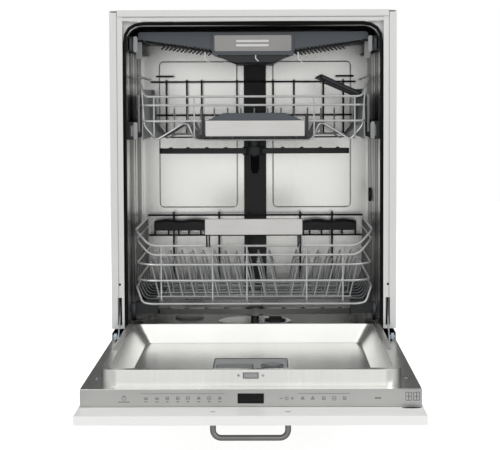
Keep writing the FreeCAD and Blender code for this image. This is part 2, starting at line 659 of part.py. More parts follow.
plate_z0 = hinge_z - dim.steel
tail_y = hinge_y + dim.door_tail
heel_y = hinge_y + dim.door_heel
tail_x = tub_side + 7


def door_plan(z0, z1, y0, inset):
    """The door's outline: full width, with the middle of its heel cut short of the tub."""
    whole = block(-door_side + inset, door_side - inset, y0, tail_y - inset, z0, z1)
    gap = block(-tail_x - inset, tail_x + inset, heel_y - inset, tail_y + 5, z0 - 1, z1 + 1)
    return whole.cut(gap)


soap_x0 = -dim.soap_left
soap_x1 = soap_x0 + dim.soap_wide
soap_y1 = hinge_y - dim.soap_fore
soap_y0 = soap_y1 - dim.soap_long
island = rounded_block(-island_side, island_side, island_y0, island_y1, plate_z0, island_z, dim.island_corner)
hollow = rounded_block(
    -island_side + wall, island_side - wall, island_y0 + wall, island_y1 - wall,
    plate_z0 - 1, island_z - wall, float(dim.island_corner) - wall)
inner = door_plan(plate_z0, hinge_z, fascia_y, 0).fuse(island).cut(hollow)
inner = inner.fuse(tapered_dish(wall, 0)).cut(tapered_dish(0, 0.01)).removeSplitter()
stay_half_slot = dim.slot_wide / 2 + 0.5
ear_x0 = side - 14
for sign in (1, -1):
    notch = block(ear_x0 - 0.6, side, hinge_y - 10, hinge_y + 10, plate_z0 - 1, hinge_z + 1)
    slot = block(
        stay_x - stay_half_slot, stay_x + stay_half_slot, stay_y - 15, stay_y - 15 + dim.stay_slot_long,
        plate_z0 - 1, hinge_z + 1)
    for tool in (notch, slot):
        inner = inner.cut(tool if sign > 0 else mirror(tool))
latch_gap = block(
    -dim.latch_wide / 2, dim.latch_wide / 2, island_y0 - 1, island_y0 + wall + 1,
    dim.latch_level - dim.latch_high / 2, dim.latch_level + dim.latch_high / 2)
soap_gap = block(soap_x0 + 4, soap_x1 - 4, soap_y0 + 4, soap_y1 - 4, dish_z - 4, dish_z + 1)
node("door_inner", made("DoorInner", inner.cut(latch_gap).cut(soap_gap)))

outer_y0 = fascia_y + dim.fascia_deep
outer = door_plan(door_low, plate_z0 - 0.01, outer_y0, 0)
outer = outer.cut(door_plan(door_low + wall, plate_z0 + 1, outer_y0 - 1, wall))
for sign in (1, -1):
    hole = Part.makeCylinder(float(dim.hinge_pin) + 0.6, 20, point(sign * door_side - 10, hinge_y, hinge_z), V(1, 0, 0))
    outer = outer.cut(hole)
node("door_outer", made("DoorOuter", outer))

fascia_block = box("FasciaBlock", (-door_side, fascia_y, door_low), (door_side, outer_y0 - 0.01, plate_z0 - 0.01))
fascia_room = box(
    "FasciaRoom", (-door_side + 2, fascia_y + 2.5, door_low + 2), (door_side - 2, outer_y0 + 1, plate_z0 + 1))
display_z0 = door_low + dim.display_low
display_half = dim.display_wide / 2
display_gap = box(
    "DisplayGap", (-display_half, fascia_y - 1, display_z0),
    (display_half, fascia_y + 4, display_z0 + dim.display_high))
node("control_fascia", cut("Fascia", fascia_block, [fascia_room, display_gap]))
node("display_window", box(
    "Display", (-display_half + 0.1, fascia_y + 0.2, display_z0 + 0.1),
    (display_half - 0.1, fascia_y + 0.2 + dim.display_thick, display_z0 + dim.display_high - 0.1)))


def hinge_arm(sign):
    """The plate inside the door's edge: an eye for the hinge pin and a stud for the stay."""
    x0 = side - 11
    x1 = x0 + dim.arm_thick
    plate = block(x0, x1, stay_y - 30, hinge_y + 20, door_low + wall, plate_z0 - 0.01)
    ear = Part.makeCylinder(9, float(dim.arm_thick), point(x0, hinge_y, hinge_z), V(1, 0, 0))
    eye = Part.makeCylinder(float(dim.hinge_pin + dim.pin_play), 40, point(x0 - 10, hinge_y, hinge_z), V(1, 0, 0))
    stud = Part.makeCylinder(float(dim.stay_pin), 9, point(x0 - 8.5, stay_y, stay_z), V(1, 0, 0))
    arm = plate.fuse(ear).cut(eye).fuse(stud).removeSplitter()
    return arm if sign > 0 else mirror(arm)


node("hinge_arms", made("HingeArms", Part.makeCompound([hinge_arm(1), hinge_arm(-1)])))


def stay(sign):
    """The flat bar from the door into the casing side, turning on the door's stud."""
    half = float(dim.stay_half)
    bar = Part.makeBox(float(dim.stay_thick), float(dim.stay_long), 2 * half, V(0, 0, -half))
    for y in (0, float(dim.stay_long)):
        bar = bar.fuse(Part.makeCylinder(half, float(dim.stay_thick), V(0, y, 0), V(1, 0, 0)))
    bore = Part.makeCylinder(float(dim.stay_pin + dim.pin_play), 20, V(-8, 0, 0), V(1, 0, 0))
    bar = bar.removeSplitter().cut(bore)
    bar.rotate(V(0, 0, 0), V(1, 0, 0), float(dim.stay_rise))
    bar.translate(point(stay_x - dim.stay_thick / 2, stay_y, stay_z))
    return bar if sign > 0 else mirror(bar)


node("door_stays", made("Stays", Part.makeCompound([stay(1), stay(-1)])))

# latch: a housing behind the island's front wall and a sprung bolt in its mouth
latch_half = dim.latch_wide / 2
latch_z0 = dim.latch_level - dim.latch_high / 2
latch_z1 = dim.latch_level + dim.latch_high / 2
latch_y0 = island_y0 + wall + 0.1
latch_case = box("LatchCase", (-28, latch_y0, plate_z0 + 2), (28, latch_y0 + 14, island_z - wall - 0.3))
latch_room = box("LatchRoom", (-latch_half + 1, latch_y0 - 1, latch_z0 + 1), (latch_half - 1, latch_y0 + 12, latch_z1 - 1))
node("latch_housing", cut("LatchHousing", latch_case, [latch_room]))
node("latch_bolt", box(
    "LatchBolt", (-latch_half + 1.3, island_y0 - 1, latch_z0 + 1.3), (latch_half - 1.3, latch_y0 + 7, latch_z1 - 1.3)))

# detergent and rinse-aid dispenser, set in the floor of the dish
soap_top = dish_z + dim.soap_proud
flap_x0 = soap_x0 + 8
flap_x1 = flap_x0 + dim.flap_wide
flap_y1 = soap_y0 + 20 + dim.flap_long
flap_y0 = soap_y0 + 20
rinse_x = soap_x1 - 30
rinse_y = soap_y0 + 60
soap_plate = box("SoapPlate", (soap_x0, soap_y0, dish_z + 0.05), (soap_x1, soap_y1, soap_top))
soap_body = box("SoapBody", (soap_x0 + 4.3, soap_y0 + 4.3, door_low + wall + 0.3), (soap_x1 - 4.3, soap_y1 - 4.3, dish_z + 0.1))
soap_cup = box("SoapCup", (flap_x0 + 3, flap_y0 + 3, dish_z - 14), (flap_x1 - 3, flap_y1 - 3, soap_top + 1))
rinse_bore = rod("RinseBore", dim.rinse_cap - 4, 30, (rinse_x, rinse_y, dish_z - 12))
node("dispenser_body", cut("Dispenser", join("SoapWhole", [soap_plate, soap_body]), [soap_cup, rinse_bore]))
flap_z0 = soap_top + dim.flap_gap
flap_pin = dim.flap_thick / 2
flap_leaf = box("FlapLeaf", (flap_x0, flap_y0, flap_z0), (flap_x1, flap_y1, flap_z0 + dim.flap_thick))
flap_barrel = rod("FlapBarrel", flap_pin, dim.flap_wide, (flap_x0, flap_y1, flap_z0 + flap_pin), "X")
node("dispenser_flap", join("Flap", [flap_leaf, flap_barrel]))
rinse_plug = rod("RinsePlug", dim.rinse_cap - 4 - dim.pin_play, 12, (rinse_x, rinse_y, dish_z - 8))
rinse_disc = rod("RinseDisc", dim.rinse_cap, dim.cap_high, (rinse_x, rinse_y, soap_top + 0.1))
node("rinse_cap", join("RinseCap", [rinse_plug, rinse_disc]))

# ---------------------------------------------------------------- furniture front

panel_side = dim.panel_wide / 2
panel_low = panel_top - dim.panel_thick
handle_x = dim.handle_pitch / 2
handle_y = panel_y + dim.handle_back
front_block = box("PanelBlock", (-panel_side, panel_y, panel_low), (panel_side, panel_y + dim.panel_long, panel_top))
front_holes = [
    rod("HandleHole%d" % i, 2.2, dim.panel_thick + 2, (x, handle_y, panel_low - 1))
    for i, x in enumerate((-handle_x, handle_x))]
front_holes += [
    rod("HandleSink%d" % i, 5, 4, (x, handle_y, panel_top - 2.6))
    for i, x in enumerate((-handle_x, handle_x))]
node("furniture_front", cut("FurnitureFront", front_block, front_holes))
grip_z = panel_low - dim.handle_stand + dim.handle_rod
handle_path = [
    (-handle_x, handle_y, panel_low), (-handle_x, handle_y, grip_z),
    (handle_x, handle_y, grip_z), (handle_x, handle_y, panel_low)]
node("door_handle", made("Handle", bent_rod(handle_path, dim.handle_rod, 14)))
screws = []
for x in (-handle_x, handle_x):
    shank = Part.makeCylinder(2.1, float(dim.panel_thick) - 1, point(x, handle_y, panel_low))
    head = Part.makeCylinder(4.5, 2.2, point(x, handle_y, panel_top - 2.5))
    screws.append(shank.fuse(head))
node("handle_screws", made("HandleScrews", Part.makeCompound(screws)))

# ---------------------------------------------------------------- cutlery tray

def tray_profile(shrink):
    """Half-outline of the tray's cross-section, falling in two slopes to a keel."""
    t = float(shrink)
    x = float(dim.tray_wide) / 2 - t
    mid_x = float(dim.tray_mid) - t * 0.3
    top = float(dim.tray_top) + (t if t else 0)
    half = [(0, float(dim.tray_keel) + t), (mid_x * 0.45, float(dim.tray_keel) + t), (mid_x, float(dim.tray_low) + t),
            (x - 8, float(dim.tray_top - dim.tray_end) + t), (x, float(dim.tray_top - dim.tray_end) + 6 + t), (x, top)]
    return half


def tray_prism(shrink, y0, y1):
    half = tray_profile(shrink)
    around = half + [(-x, z) for x, z in reversed(half)]
    corners = [V(x, float(y0), z) for x, z in around[:-1]]
    face = Part.Face(Part.makePolygon(corners + corners[:1]))
    return face.extrude(V(0, float(y1) - float(y0), 0))


tray_shell = tray_prism(0, dim.tray_front, dim.tray_rear)
tray_shell = tray_shell.cut(tray_prism(dim.tray_wall, dim.tray_front + 3, dim.tray_rear - 3))
tray_half = dim.tray_wide / 2
run_out = guide_x1 - dim.guide_wall - play - 2.5
run_high = tray_rail_z1 - dim.guide_wall - play
tray_skirt = block(run_out - 6, run_out, guide_y0 + 4, dim.tray_rear, tray_rail_z0 + dim.guide_wall + play, run_high)
tray_web = block(tray_half - 5, run_out - 1, guide_y0 + 14, dim.tray_rear, run_high - 3.5, run_high)
tray_tie = block(
    tray_half - dim.tray_wall, tray_half + 2, guide_y0 + 14, dim.tray_rear, run_high - 3.5, dim.tray_top - 3)
tray_wing = tray_skirt.fuse(tray_web).fuse(tray_tie)
tray_shell = tray_shell.multiFuse(both_sides(tray_wing)).removeSplitter()
node("cutlery_tray", made("CutleryTray", tray_shell))

badge_half = dim.badge_wide / 2
badge_y = dim.tray_front - dim.badge_thick
badge_block = box(
    "Badge", (-badge_half, badge_y, dim.badge_top - dim.badge_high),
    (badge_half, dim.tray_front - 0.05, dim.badge_top))
badge_slots = [
    box("BadgeSlot%d" % i, (-34.5, badge_y - 1, z), (34.5, badge_y + 2.5, z + 5))
    for i, z in enumerate((dim.badge_top - 30, dim.badge_top - 21))]
node("tray_handle", cut("TrayHandle", badge_block, badge_slots))

# ---------------------------------------------------------------- upper basket

def ring(front_y, rear_y, front_half, side_half, front_z, side_z, rear_z, radius, dip):
    """Both halves of a basket's rim: level at the front, then up and back along the side."""
    half = [(0, front_y, front_z), (front_half, front_y, front_z), (side_half, front_y + dip, side_z),
            (side_half, rear_y - 2, side_z), (side_half - 14, rear_y, rear_z), (0, rear_y, rear_z)]
    return bent_rod(half, radius, 5)


top_half = dim.top_wide / 2
top_rim_half = dim.top_rim_wide / 2


def u_wire(x_low, x_high, y, z_low, z_high, radius):
    """One wire down the side, across the floor and up the other side."""
    return bent_rod([(-x_high, y, z_high), (-x_low, y, z_low), (x_low, y, z_low), (x_high, y, z_high)], radius, 8)


def long_wire(x, y0, y1, z_front, z_low, z_rear, radius):
    """One wire down the front, back along the floor and up the rear."""
    return bent_rod([(x, y0, z_front), (x, y0, z_low), (x, y1, z_low), (x, y1, z_rear)], radius, 8)


def basket(front, rear, floor_z, rim_z, sill_z, half, rim_half, floor_half, levels, cross_steps, long_steps):
    """The wires of one basket, each lying against the next as they are welded."""
    thick = dim.rim_rod
    thin = dim.wire_rod
    reach = thick + thin + 0.04
    solids = []
    rim = ring(front, rear, half, rim_half, sill_z, rim_z, rim_z - 8, thick, 18)
    solids += both_sides(rim)
    inset = front + reach
    back = rear - reach
    for z in levels:
        level = bent_rod([(0, front, z), (half, front, z), (half, front + 30, z)], thin, 6)
        solids += both_sides(level)
    for x in long_steps:
        for way in (1, -1):
            solids.append(long_wire(way * x, inset, back, sill_z, floor_z, rim_z - 10, thin))
    for y in cross_steps:
        solids.append(u_wire(floor_half, rim_half - reach, y, floor_z - 2 * thin - 0.04, rim_z, thin))
    return solids


top_cross = [110 + 52 * i for i in range(7)]
top_long = [45, 92, 138, 184]
top_levels = [dim.top_sill - 18, dim.top_sill - 52]
top_solids = basket(
    dim.top_front, dim.top_rear, dim.top_floor + 6, dim.top_rim, dim.top_sill, top_half, top_rim_half,
    top_half + 6, top_levels, top_cross, top_long)
shelf_x = top_rim_half - 21
shelf_z = dim.top_sill + 2
lean = dim.wire_rod * 2 + 0.04
shelf_y0 = top_cross[0] + lean
shelf_y1 = top_cross[4] - lean
shelf_wire = [
    (shelf_x + 16, shelf_y0, shelf_z), (shelf_x, shelf_y0, shelf_z), (shelf_x, shelf_y1, shelf_z),
    (shelf_x + 16, shelf_y1, shelf_z)]
top_solids.append(bent_rod(shelf_wire, dim.wire_rod, 3))
node("upper_basket", made("UpperBasket", Part.makeCompound(top_solids)))

plate_x1 = run_x0 - play
side_plate = block(plate_x1 - dim.side_plate, plate_x1, 92, 440, dim.side_plate_low, dim.side_plate_high)
node("basket_side_plates", made("SidePlates", Part.makeCompound(both_sides(side_plate))))

handle_half = dim.plate_wide / 2
top_plate_y = dim.top_front - dim.wire_rod - 0.2
top_plate = box(
    "TopPlate", (-handle_half, top_plate_y - dim.plate_thick, dim.plate_level - dim.plate_high / 2),
    (handle_half, top_plate_y, dim.plate_level + dim.plate_high / 2))
top_grip = box(
    "TopGrip", (-64, top_plate_y - dim.plate_thick, dim.plate_level + dim.plate_high / 2),
    (64, top_plate_y, dim.plate_level + dim.plate_high / 2 + 15))
node("upper_handle", join("UpperHandle", [top_plate, top_grip]))

feed_pipe = Part.makeCylinder(
    float(dim.feed_rod) - 0.6, float(spine_y0 - 0.4 - arm_y), point(0, arm_y, feed_z), V(0, 1, 0))
feed_hub = Part.makeCylinder(float(dim.feed_rod) + 6, 2 * float(dim.feed_rod), point(0, arm_y, feed_z - dim.feed_rod))
feed_axle = Part.makeCylinder(6, 30, point(0, arm_y, feed_z - 30))
feed_head = Part.makeCylinder(9, 3, point(0, arm_y, dim.arm_level - dim.arm_high / 2 - 3 - 3.4))
feed_parts = [feed_hub, feed_axle, feed_head]
node("feed_pipe", made("FeedPipe", feed_pipe.multiFuse(feed_parts).removeSplitter()))

top_bore = Part.makeCylinder(6 + float(dim.pin_play), 60, point(0, arm_y, dim.arm_level - 12))
top_arm = spray_arm(dim.arm_level, float(dim.arm_half), dim.hub_rod, top_bore)
node("upper_spray_arm", made("UpperArm", top_arm))

shelf = Part.makeBox(float(dim.shelf_wide), float(dim.shelf_long), float(dim.shelf_thick), V(0, 0, 0))
for i in range(8):
    for j in range(3):
        x0 = 16 + 27 * j
        y0 = 12 + (float(dim.shelf_long) - 24) / 8 * i
        shelf = shelf.cut(Part.makeBox(20, (float(dim.shelf_long) - 24) / 8 - 8, 20, V(x0, y0, -5)))
barrel = Part.makeCylinder(4.5, float(dim.shelf_long), V(0, 0, 1.5), V(0, 1, 0))
shelf = shelf.fuse(barrel).removeSplitter()
shelf_bore = Part.makeCylinder(1.8 + float(dim.pin_play), 600, V(0, -50, 1.5), V(0, 1, 0))
shelf = shelf.cut(shelf_bore)
shelf.translate(V(0, 0, -1.5))
shelf.rotate(V(0, 0, 0), V(0, 1, 0), 180)
shelf.rotate(V(0, 0, 0), V(0, 1, 0), float(dim.shelf_tilt))
shelf.translate(point(shelf_x, dim.shelf_front, shelf_z))
node("cup_shelf", made("CupShelf", shelf))


def tine_row(x_list, y, z, high, lean, radius, x0, x1):
    """A folding row: one long wire turning on its axis, with leaning tines."""
    bar = straight_rod((x0, y, z), (x1, y, z), float(radius) + 0.4)
    tines = []
    for x, way in x_list:
        tines.append(straight_rod((x, y, z), (x + way * float(lean), y, z + high), radius))
    return bar.multiFuse(tines).removeSplitter()


top_tine_z = dim.top_floor + 6 + dim.wire_rod * 2 + 0.5
top_tines = [(-180 + 30 * i, 0) for i in range(13)]
top_row = tine_row(top_tines, 300, top_tine_z + 0.4, 58, 0, dim.tine_rod, -200, 200)
node("upper_tines", made("UpperTines", top_row))

# ---------------------------------------------------------------- lower basket

low_half = dim.low_wide / 2
low_rim_half = dim.low_rim_wide / 2
low_cross = [115 + 54 * i for i in range(7)]
low_long = [15, 62, 108, 150, 195]
low_levels = [dim.low_sill - 20, dim.low_sill - 41, dim.low_sill - 75]
low_solids = basket(
    dim.low_front, dim.low_rear, dim.low_floor + 6, dim.low_rim, dim.low_sill, low_half, low_rim_half,
    low_half - 8, low_levels, low_cross, low_long)
axle_z = dim.track_top + 0.3 + dim.wheel_rod
node("lower_basket", made("LowerBasket", Part.makeCompound(low_solids)))


def axle_carrier(y, wire_y):
    """A moulded clip under the basket's corner that holds one wheel's stub axle."""
    x0 = low_half - 14
    x1 = dim.wheel_out - dim.wheel_thick / 2 - 1
    body = block(x0, x1, y - 12, wire_y + 3, axle_z - 7, dim.low_floor + 6 - 3 * dim.wire_rod - 0.1)
    stub = straight_rod((x0, y, axle_z), (dim.wheel_out + 5.5, y, axle_z), dim.axle_rod)
    head = straight_rod((dim.wheel_out + 4.5, y, axle_z), (dim.wheel_out + 6, y, axle_z), dim.axle_rod + 2)
    return body.multiFuse([stub, head]).removeSplitter()


carriers = []
for y, wire_y in ((dim.wheel_front, low_cross[0]), (dim.wheel_rear, low_cross[-1])):
    carriers += both_sides(axle_carrier(y, wire_y))
node("wheel_carriers", made("WheelCarriers", Part.makeCompound(carriers)))


def wheel_pair(name, y):
    tyre = rod(name + "Tyre", dim.wheel_rod, dim.wheel_thick, (dim.wheel_out - dim.wheel_thick / 2, y, axle_z), "X")
    bore = rod(name + "Bore", dim.axle_rod + dim.pin_play, 30, (dim.wheel_out - 15, y, axle_z), "X")
    right = cut(name + "Right", tyre, [bore])
    tyre = rod(name + "TyreL", dim.wheel_rod, dim.wheel_thick, (-dim.wheel_out - dim.wheel_thick / 2, y, axle_z), "X")
    bore = rod(name + "BoreL", dim.axle_rod + dim.pin_play, 30, (-dim.wheel_out - 15, y, axle_z), "X")
    left = cut(name + "Left", tyre, [bore])
    return group(name, [right, left])


node("front_wheels", wheel_pair("FrontWheels", dim.wheel_front))
node("rear_wheels", wheel_pair("RearWheels", dim.wheel_rear))

low_plate_z0 = dim.low_plate_level - dim.plate_high / 2
low_plate_y = dim.low_front - dim.rim_rod - 0.2
low_plate = box(
    "LowPlate", (-handle_half, low_plate_y - dim.plate_thick, low_plate_z0),
    (handle_half, low_plate_y, low_plate_z0 + dim.plate_high))
low_legs = [
    box("LowLeg%d" % i, (x - 5, low_plate_y - 3, dim.low_sill - 20), (x + 5, low_plate_y, low_plate_z0 + 2))
    for i, x in enumerate((-handle_half + 6, handle_half - 6))]
node("lower_handle", join("LowerHandle", [low_plate] + low_legs))

low_tine_z = dim.low_floor + 6 + dim.wire_rod * 2 + 0.9
left_tines = [(-203.8 + float(dim.tine_pitch) * i, -1) for i in range(11)]
right_tines = [(78 + float(dim.tine_pitch) * i, 1) for i in range(6)]
front_row = tine_row(left_tines + right_tines, 84, low_tine_z, float(dim.tine_high), dim.tine_lean, dim.tine_rod, -208, 208)
node("lower_tines_front", made("TinesFront", front_row))
rear_rows = [
    tine_row(left_tines + right_tines, y, low_tine_z, float(dim.tine_high), dim.tine_lean, dim.tine_rod, -208, 208)
    for y in (300,)]
node("lower_tines_rear", made("TinesRear", rear_rows[0]))

# ---------------------------------------------------------------- build, check and write

doc.recompute()
for obj in doc.Objects:
    if "Invalid" in obj.State or "Error" in obj.State:
        raise RuntimeError("%s failed: %s" % (obj.Name, obj.State))

os.makedirs("parts", exist_ok=True)
for label, obj in nodes.items():
    shape = obj.Shape
    if shape.isNull() or not shape.isValid() or not shape.Solids:
        raise RuntimeError("%s has no valid solid" % label)
    shape.exportStep(os.path.join("parts", label + ".step"))
print("%d sub-parts written" % len(nodes))
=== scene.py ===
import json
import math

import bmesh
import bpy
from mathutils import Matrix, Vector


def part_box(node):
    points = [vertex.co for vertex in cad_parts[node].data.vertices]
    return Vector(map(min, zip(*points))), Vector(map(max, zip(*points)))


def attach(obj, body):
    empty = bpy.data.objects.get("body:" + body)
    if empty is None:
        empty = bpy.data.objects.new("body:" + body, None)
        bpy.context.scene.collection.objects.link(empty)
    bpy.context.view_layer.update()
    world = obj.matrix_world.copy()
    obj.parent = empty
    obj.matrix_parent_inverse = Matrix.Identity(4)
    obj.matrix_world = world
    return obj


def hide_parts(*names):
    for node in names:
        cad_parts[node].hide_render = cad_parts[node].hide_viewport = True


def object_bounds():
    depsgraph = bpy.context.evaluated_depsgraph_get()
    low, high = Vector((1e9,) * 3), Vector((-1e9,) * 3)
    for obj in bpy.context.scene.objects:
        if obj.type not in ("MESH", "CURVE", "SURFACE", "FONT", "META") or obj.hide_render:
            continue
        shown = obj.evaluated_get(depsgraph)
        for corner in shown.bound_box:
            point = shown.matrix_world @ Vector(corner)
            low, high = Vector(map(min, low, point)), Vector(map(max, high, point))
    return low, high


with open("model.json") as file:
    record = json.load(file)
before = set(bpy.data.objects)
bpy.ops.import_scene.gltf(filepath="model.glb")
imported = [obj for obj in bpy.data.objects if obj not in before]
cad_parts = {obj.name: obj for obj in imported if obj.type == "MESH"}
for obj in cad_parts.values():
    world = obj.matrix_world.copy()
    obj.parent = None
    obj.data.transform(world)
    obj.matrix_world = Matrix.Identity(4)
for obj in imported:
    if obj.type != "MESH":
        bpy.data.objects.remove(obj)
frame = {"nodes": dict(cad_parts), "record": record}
cad_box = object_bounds()

# %% [markdown]
# # A built-in dishwasher with its door open
# The casing, tub, door, racks and pumps come in as a finished frame of named nodes.  What is
# left to do here is what the eye judges: softened sheet edges, bent and welded wire, the
# lacquered front, and a finish for every surface.  Sizes are in millimetres, as a maker
# would read them off a drawing, and one constant turns them into Blender's metres.

MM = 0.001
nodes = frame["nodes"]
body_of = {node: body for body, names in frame["record"]["behaviour"]["bodies"].items() for node in names}
slot_of = {part["node"]: part["material_slot"] for part in frame["record"]["subparts"]}


def corners(node):
    """A node's lowest and highest corner, in millimetres."""
    low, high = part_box(node)
    return low / MM, high / MM


# %% [markdown]
# ## Finishes
# Every finish starts from one physically based shader.  Colours are written as the sRGB hex
# values that a paint card would give and are turned to linear light once, by one function.
# Patterns read Object coordinates, so they are fixed to the piece and measured in metres.

# %% Colour and node helpers
def linear(hex_colour):
    """An sRGB hex colour as the linear colour that a shader wants."""
    channels = [int(hex_colour[i:i + 2], 16) / 255 for i in (1, 3, 5)]
    return [c / 12.92 if c <= 0.04045 else ((c + 0.055) / 1.055) ** 2.4 for c in channels] + [1.0]


def add(tree, kind, inputs=None, **settings):
    """Adds one node, with its settings, and its inputs set or linked."""
    made = tree.nodes.new(kind)
    for name, value in settings.items():
        setattr(made, name, value)
    for name, value in (inputs or {}).items():
        if isinstance(value, bpy.types.NodeSocket):
            tree.links.new(value, made.inputs[name])
        else:
            made.inputs[name].default_value = value
    return made


def start_finish(name, metallic=0.0, **sockets):
    """A new material with its shader, and the coordinates that its pattern reads."""
    material = bpy.data.materials.new(name)
    material.use_nodes = True
    tree = material.node_tree
    shader = tree.nodes["Principled BSDF"]
    shader.inputs["Metallic"].default_value = metallic
    for socket, value in sockets.items():
        shader.inputs[socket.replace("_", " ")].default_value = value
    return material, tree, shader, add(tree, "ShaderNodeTexCoord").outputs["Object"]


def stretched(tree, place, x_mm, y_mm, z_mm):
    """Coordinates scaled so that one unit of a pattern is this many millimetres each way."""
    scale = [1 / (side * MM) for side in (x_mm, y_mm, z_mm)]
    return add(tree, "ShaderNodeMapping", {"Vector": place, "Scale": scale}).outputs["Vector"]


def wire_up(tree, shader, pattern, dark, light, rough, depth_mm):
    """Lets one pattern drive a surface's colour, its roughness and its fine relief."""
    # Noise mostly lies between 0.3 and 0.7, so that span is spread over both colours.
    ramp = add(tree, "ShaderNodeMapRange", {"Value": pattern, "From Min": 0.3, "From Max": 0.7})
    # On a colour Mix node input 0 is the factor, and 6 and 7 are the two colours.
    blend = add(tree, "ShaderNodeMix", {
        0: ramp.outputs[0], 6: linear(dark), 7: linear(light)}, data_type="RGBA")
    gloss = add(tree, "ShaderNodeMapRange", {"Value": pattern, "To Min": rough[0], "To Max": rough[1]})
    tree.links.new(blend.outputs[2], shader.inputs["Base Color"])
    tree.links.new(gloss.outputs[0], shader.inputs["Roughness"])
    if depth_mm:
        bump = add(tree, "ShaderNodeBump", {"Height": pattern, "Distance": depth_mm * MM, "Strength": 0.6})
        tree.links.new(bump.outputs[0], shader.inputs["Normal"])
    return ramp


# %% [markdown]
# ### Brushed and bright stainless steel
# Stainless sheet is brushed with an abrasive belt, which leaves fine scratches all one way
# and spreads a highlight across them.  The real scratches are a few hundredths of a
# millimetre wide, too fine to show, so they are drawn about half a millimetre wide.  A slow
# cloud on top is the slight unevenness of pressed sheet.  The tub's wrapped side walls are
# seen almost edge on, where ribs and reflections break them into tall dark and light bands;
# these bands are painted reflection and painted shade.

# %% Steel finishes
CLOUD_MM = 120


def brushed_steel(name, dark, light, grain, rough, depth_mm):
    """Stainless steel brushed one way; grain is the size of a scratch along X, Y and Z."""
    material, tree, shader, place = start_finish(name, metallic=1.0)
    scratch = add(tree, "ShaderNodeTexNoise", {
        "Vector": stretched(tree, place, *grain), "Scale": 1.0, "Detail": 3.0})
    cloud = add(tree, "ShaderNodeTexNoise", {
        "Vector": stretched(tree, place, CLOUD_MM, CLOUD_MM, CLOUD_MM), "Scale": 1.0})
    both = add(tree, "ShaderNodeMath", {0: scratch.outputs[0], 1: cloud.outputs[0]}, operation="ADD")
    half = add(tree, "ShaderNodeMath", {0: both.outputs[0], 1: 0.5}, operation="MULTIPLY")
    wire_up(tree, shader, half.outputs[0], dark, light, rough, depth_mm)
    return material


# Brushed from side to side: a mid-grey sheet that mirrors the room in soft streaks.
door_steel = brushed_steel(
    "brushed_stainless_door", "#82827f", "#a3a3a0", (60, 0.6, 0.6), (0.24, 0.36), 0.012)
# The panel of keys is brushed finer, which makes it paler and more even.
fascia_steel = brushed_steel(
    "brushed_stainless_panel", "#b1b1af", "#bebebc", (90, 0.5, 0.5), (0.3, 0.4), 0.008)
# Bright rolled sheet with an upright grain: the back of the tub looks almost white.
tub_steel = brushed_steel(
    "bright_stainless_tub", "#e2e2df", "#f2f2ef", (0.6, 0.6, 80), (0.18, 0.3), 0.008)
# The plates on the basket grips carry one broad warm highlight.
handle_steel = brushed_steel(
    "brushed_stainless_handle", "#c2c0be", "#d6d4d2", (50, 0.5, 0.5), (0.26, 0.38), 0.012)
# The tub floor lies in shade and mirrors the shaded racks above it, so its steel is drawn dark: painted
# shade and painted reflection.
shaded_floor_steel = brushed_steel(
    "pressed_stainless_floor_painted_shade", "#323231", "#525250", (40, 0.8, 0.8), (0.2, 0.32), 0.01)
# The plate on the tray pull and the bar handle are brushed duller.
badge_steel = brushed_steel(
    "brushed_stainless_badge", "#868583", "#9a9997", (50, 0.5, 0.5), (0.24, 0.36), 0.01)


BAND_TALL_MM, BAND_WIDE_MM = 900, 48


def banded_steel(name):
    """Polished sheet seen edge on: tall bands of bright metal and deep shade, painted reflection and painted
    shade.
    """
    material, tree, shader, place = start_finish(name, Specular_IOR_Level=0.12)
    bands = add(tree, "ShaderNodeTexNoise", {
        "Vector": stretched(tree, place, BAND_TALL_MM, BAND_WIDE_MM, BAND_TALL_MM),
        "Scale": 1.0, "Detail": 2.0, "Roughness": 0.6})
    ramp = wire_up(tree, shader, bands.outputs[0], "#131314", "#cfcfcd", (0.42, 0.16), 0)
    # A narrow span gives each band a crisp edge; the bright bands alone are bare metal.
    ramp.inputs["From Min"].default_value, ramp.inputs["From Max"].default_value = 0.47, 0.6
    tree.links.new(ramp.outputs[0], shader.inputs["Metallic"])
    return material


# The tub's side walls: tall bands of painted reflection and painted shade.
painted_band_steel = banded_steel("wrapped_stainless_wall_painted_bands")


CRYSTAL_MM = 16


def zinc_plate(name):
    """Zinc-plated strip: a cool grey with the faint mottling of its crystals."""
    material, tree, shader, place = start_finish(name, metallic=1.0)
    cells = add(tree, "ShaderNodeTexVoronoi", {
        "Vector": stretched(tree, place, CRYSTAL_MM, CRYSTAL_MM, CRYSTAL_MM), "Scale": 1.0})
    wire_up(tree, shader, cells.outputs[0], "#9aa3aa", "#a9b2b9", (0.3, 0.36), 0)
    return material


zinc_steel = zinc_plate("zinc_plated_strip")
print("steel finishes made")

# %% [markdown]
# ### Mouldings, rubber, paint and glass
# A moulded part takes the texture of its tool: a fine leathery grit that kills the gloss.
# One function makes all such skins.  What changes is the grit's size, its depth and how far
# the colour drifts, which is what tells nylon, polypropylene, rubber and powder paint apart.

# %% Moulded and coated finishes
def skin(name, dark, light, grit_mm, rough, depth_mm, **sockets):
    """A moulded or coated surface with a fine even texture."""
    material, tree, shader, place = start_finish(name, **sockets)
    grit = add(tree, "ShaderNodeTexNoise", {
        "Vector": stretched(tree, place, grit_mm, grit_mm, grit_mm), "Scale": 1.0, "Detail": 4.0})
    wire_up(tree, shader, grit.outputs[0], dark, light, rough, depth_mm)
    return material


# Powder paint on the casing: a pale satin coat with a faint orange peel.
casing_paint = skin("powder_paint_light_grey", "#d6d6d4", "#dededc", 1.2, (0.36, 0.5), 0.02)
# The same paint a shade darker, on the front rail.
rail_paint = skin("powder_paint_frame_grey", "#d3d3d1", "#dbdbd9", 1.2, (0.4, 0.5), 0.02)
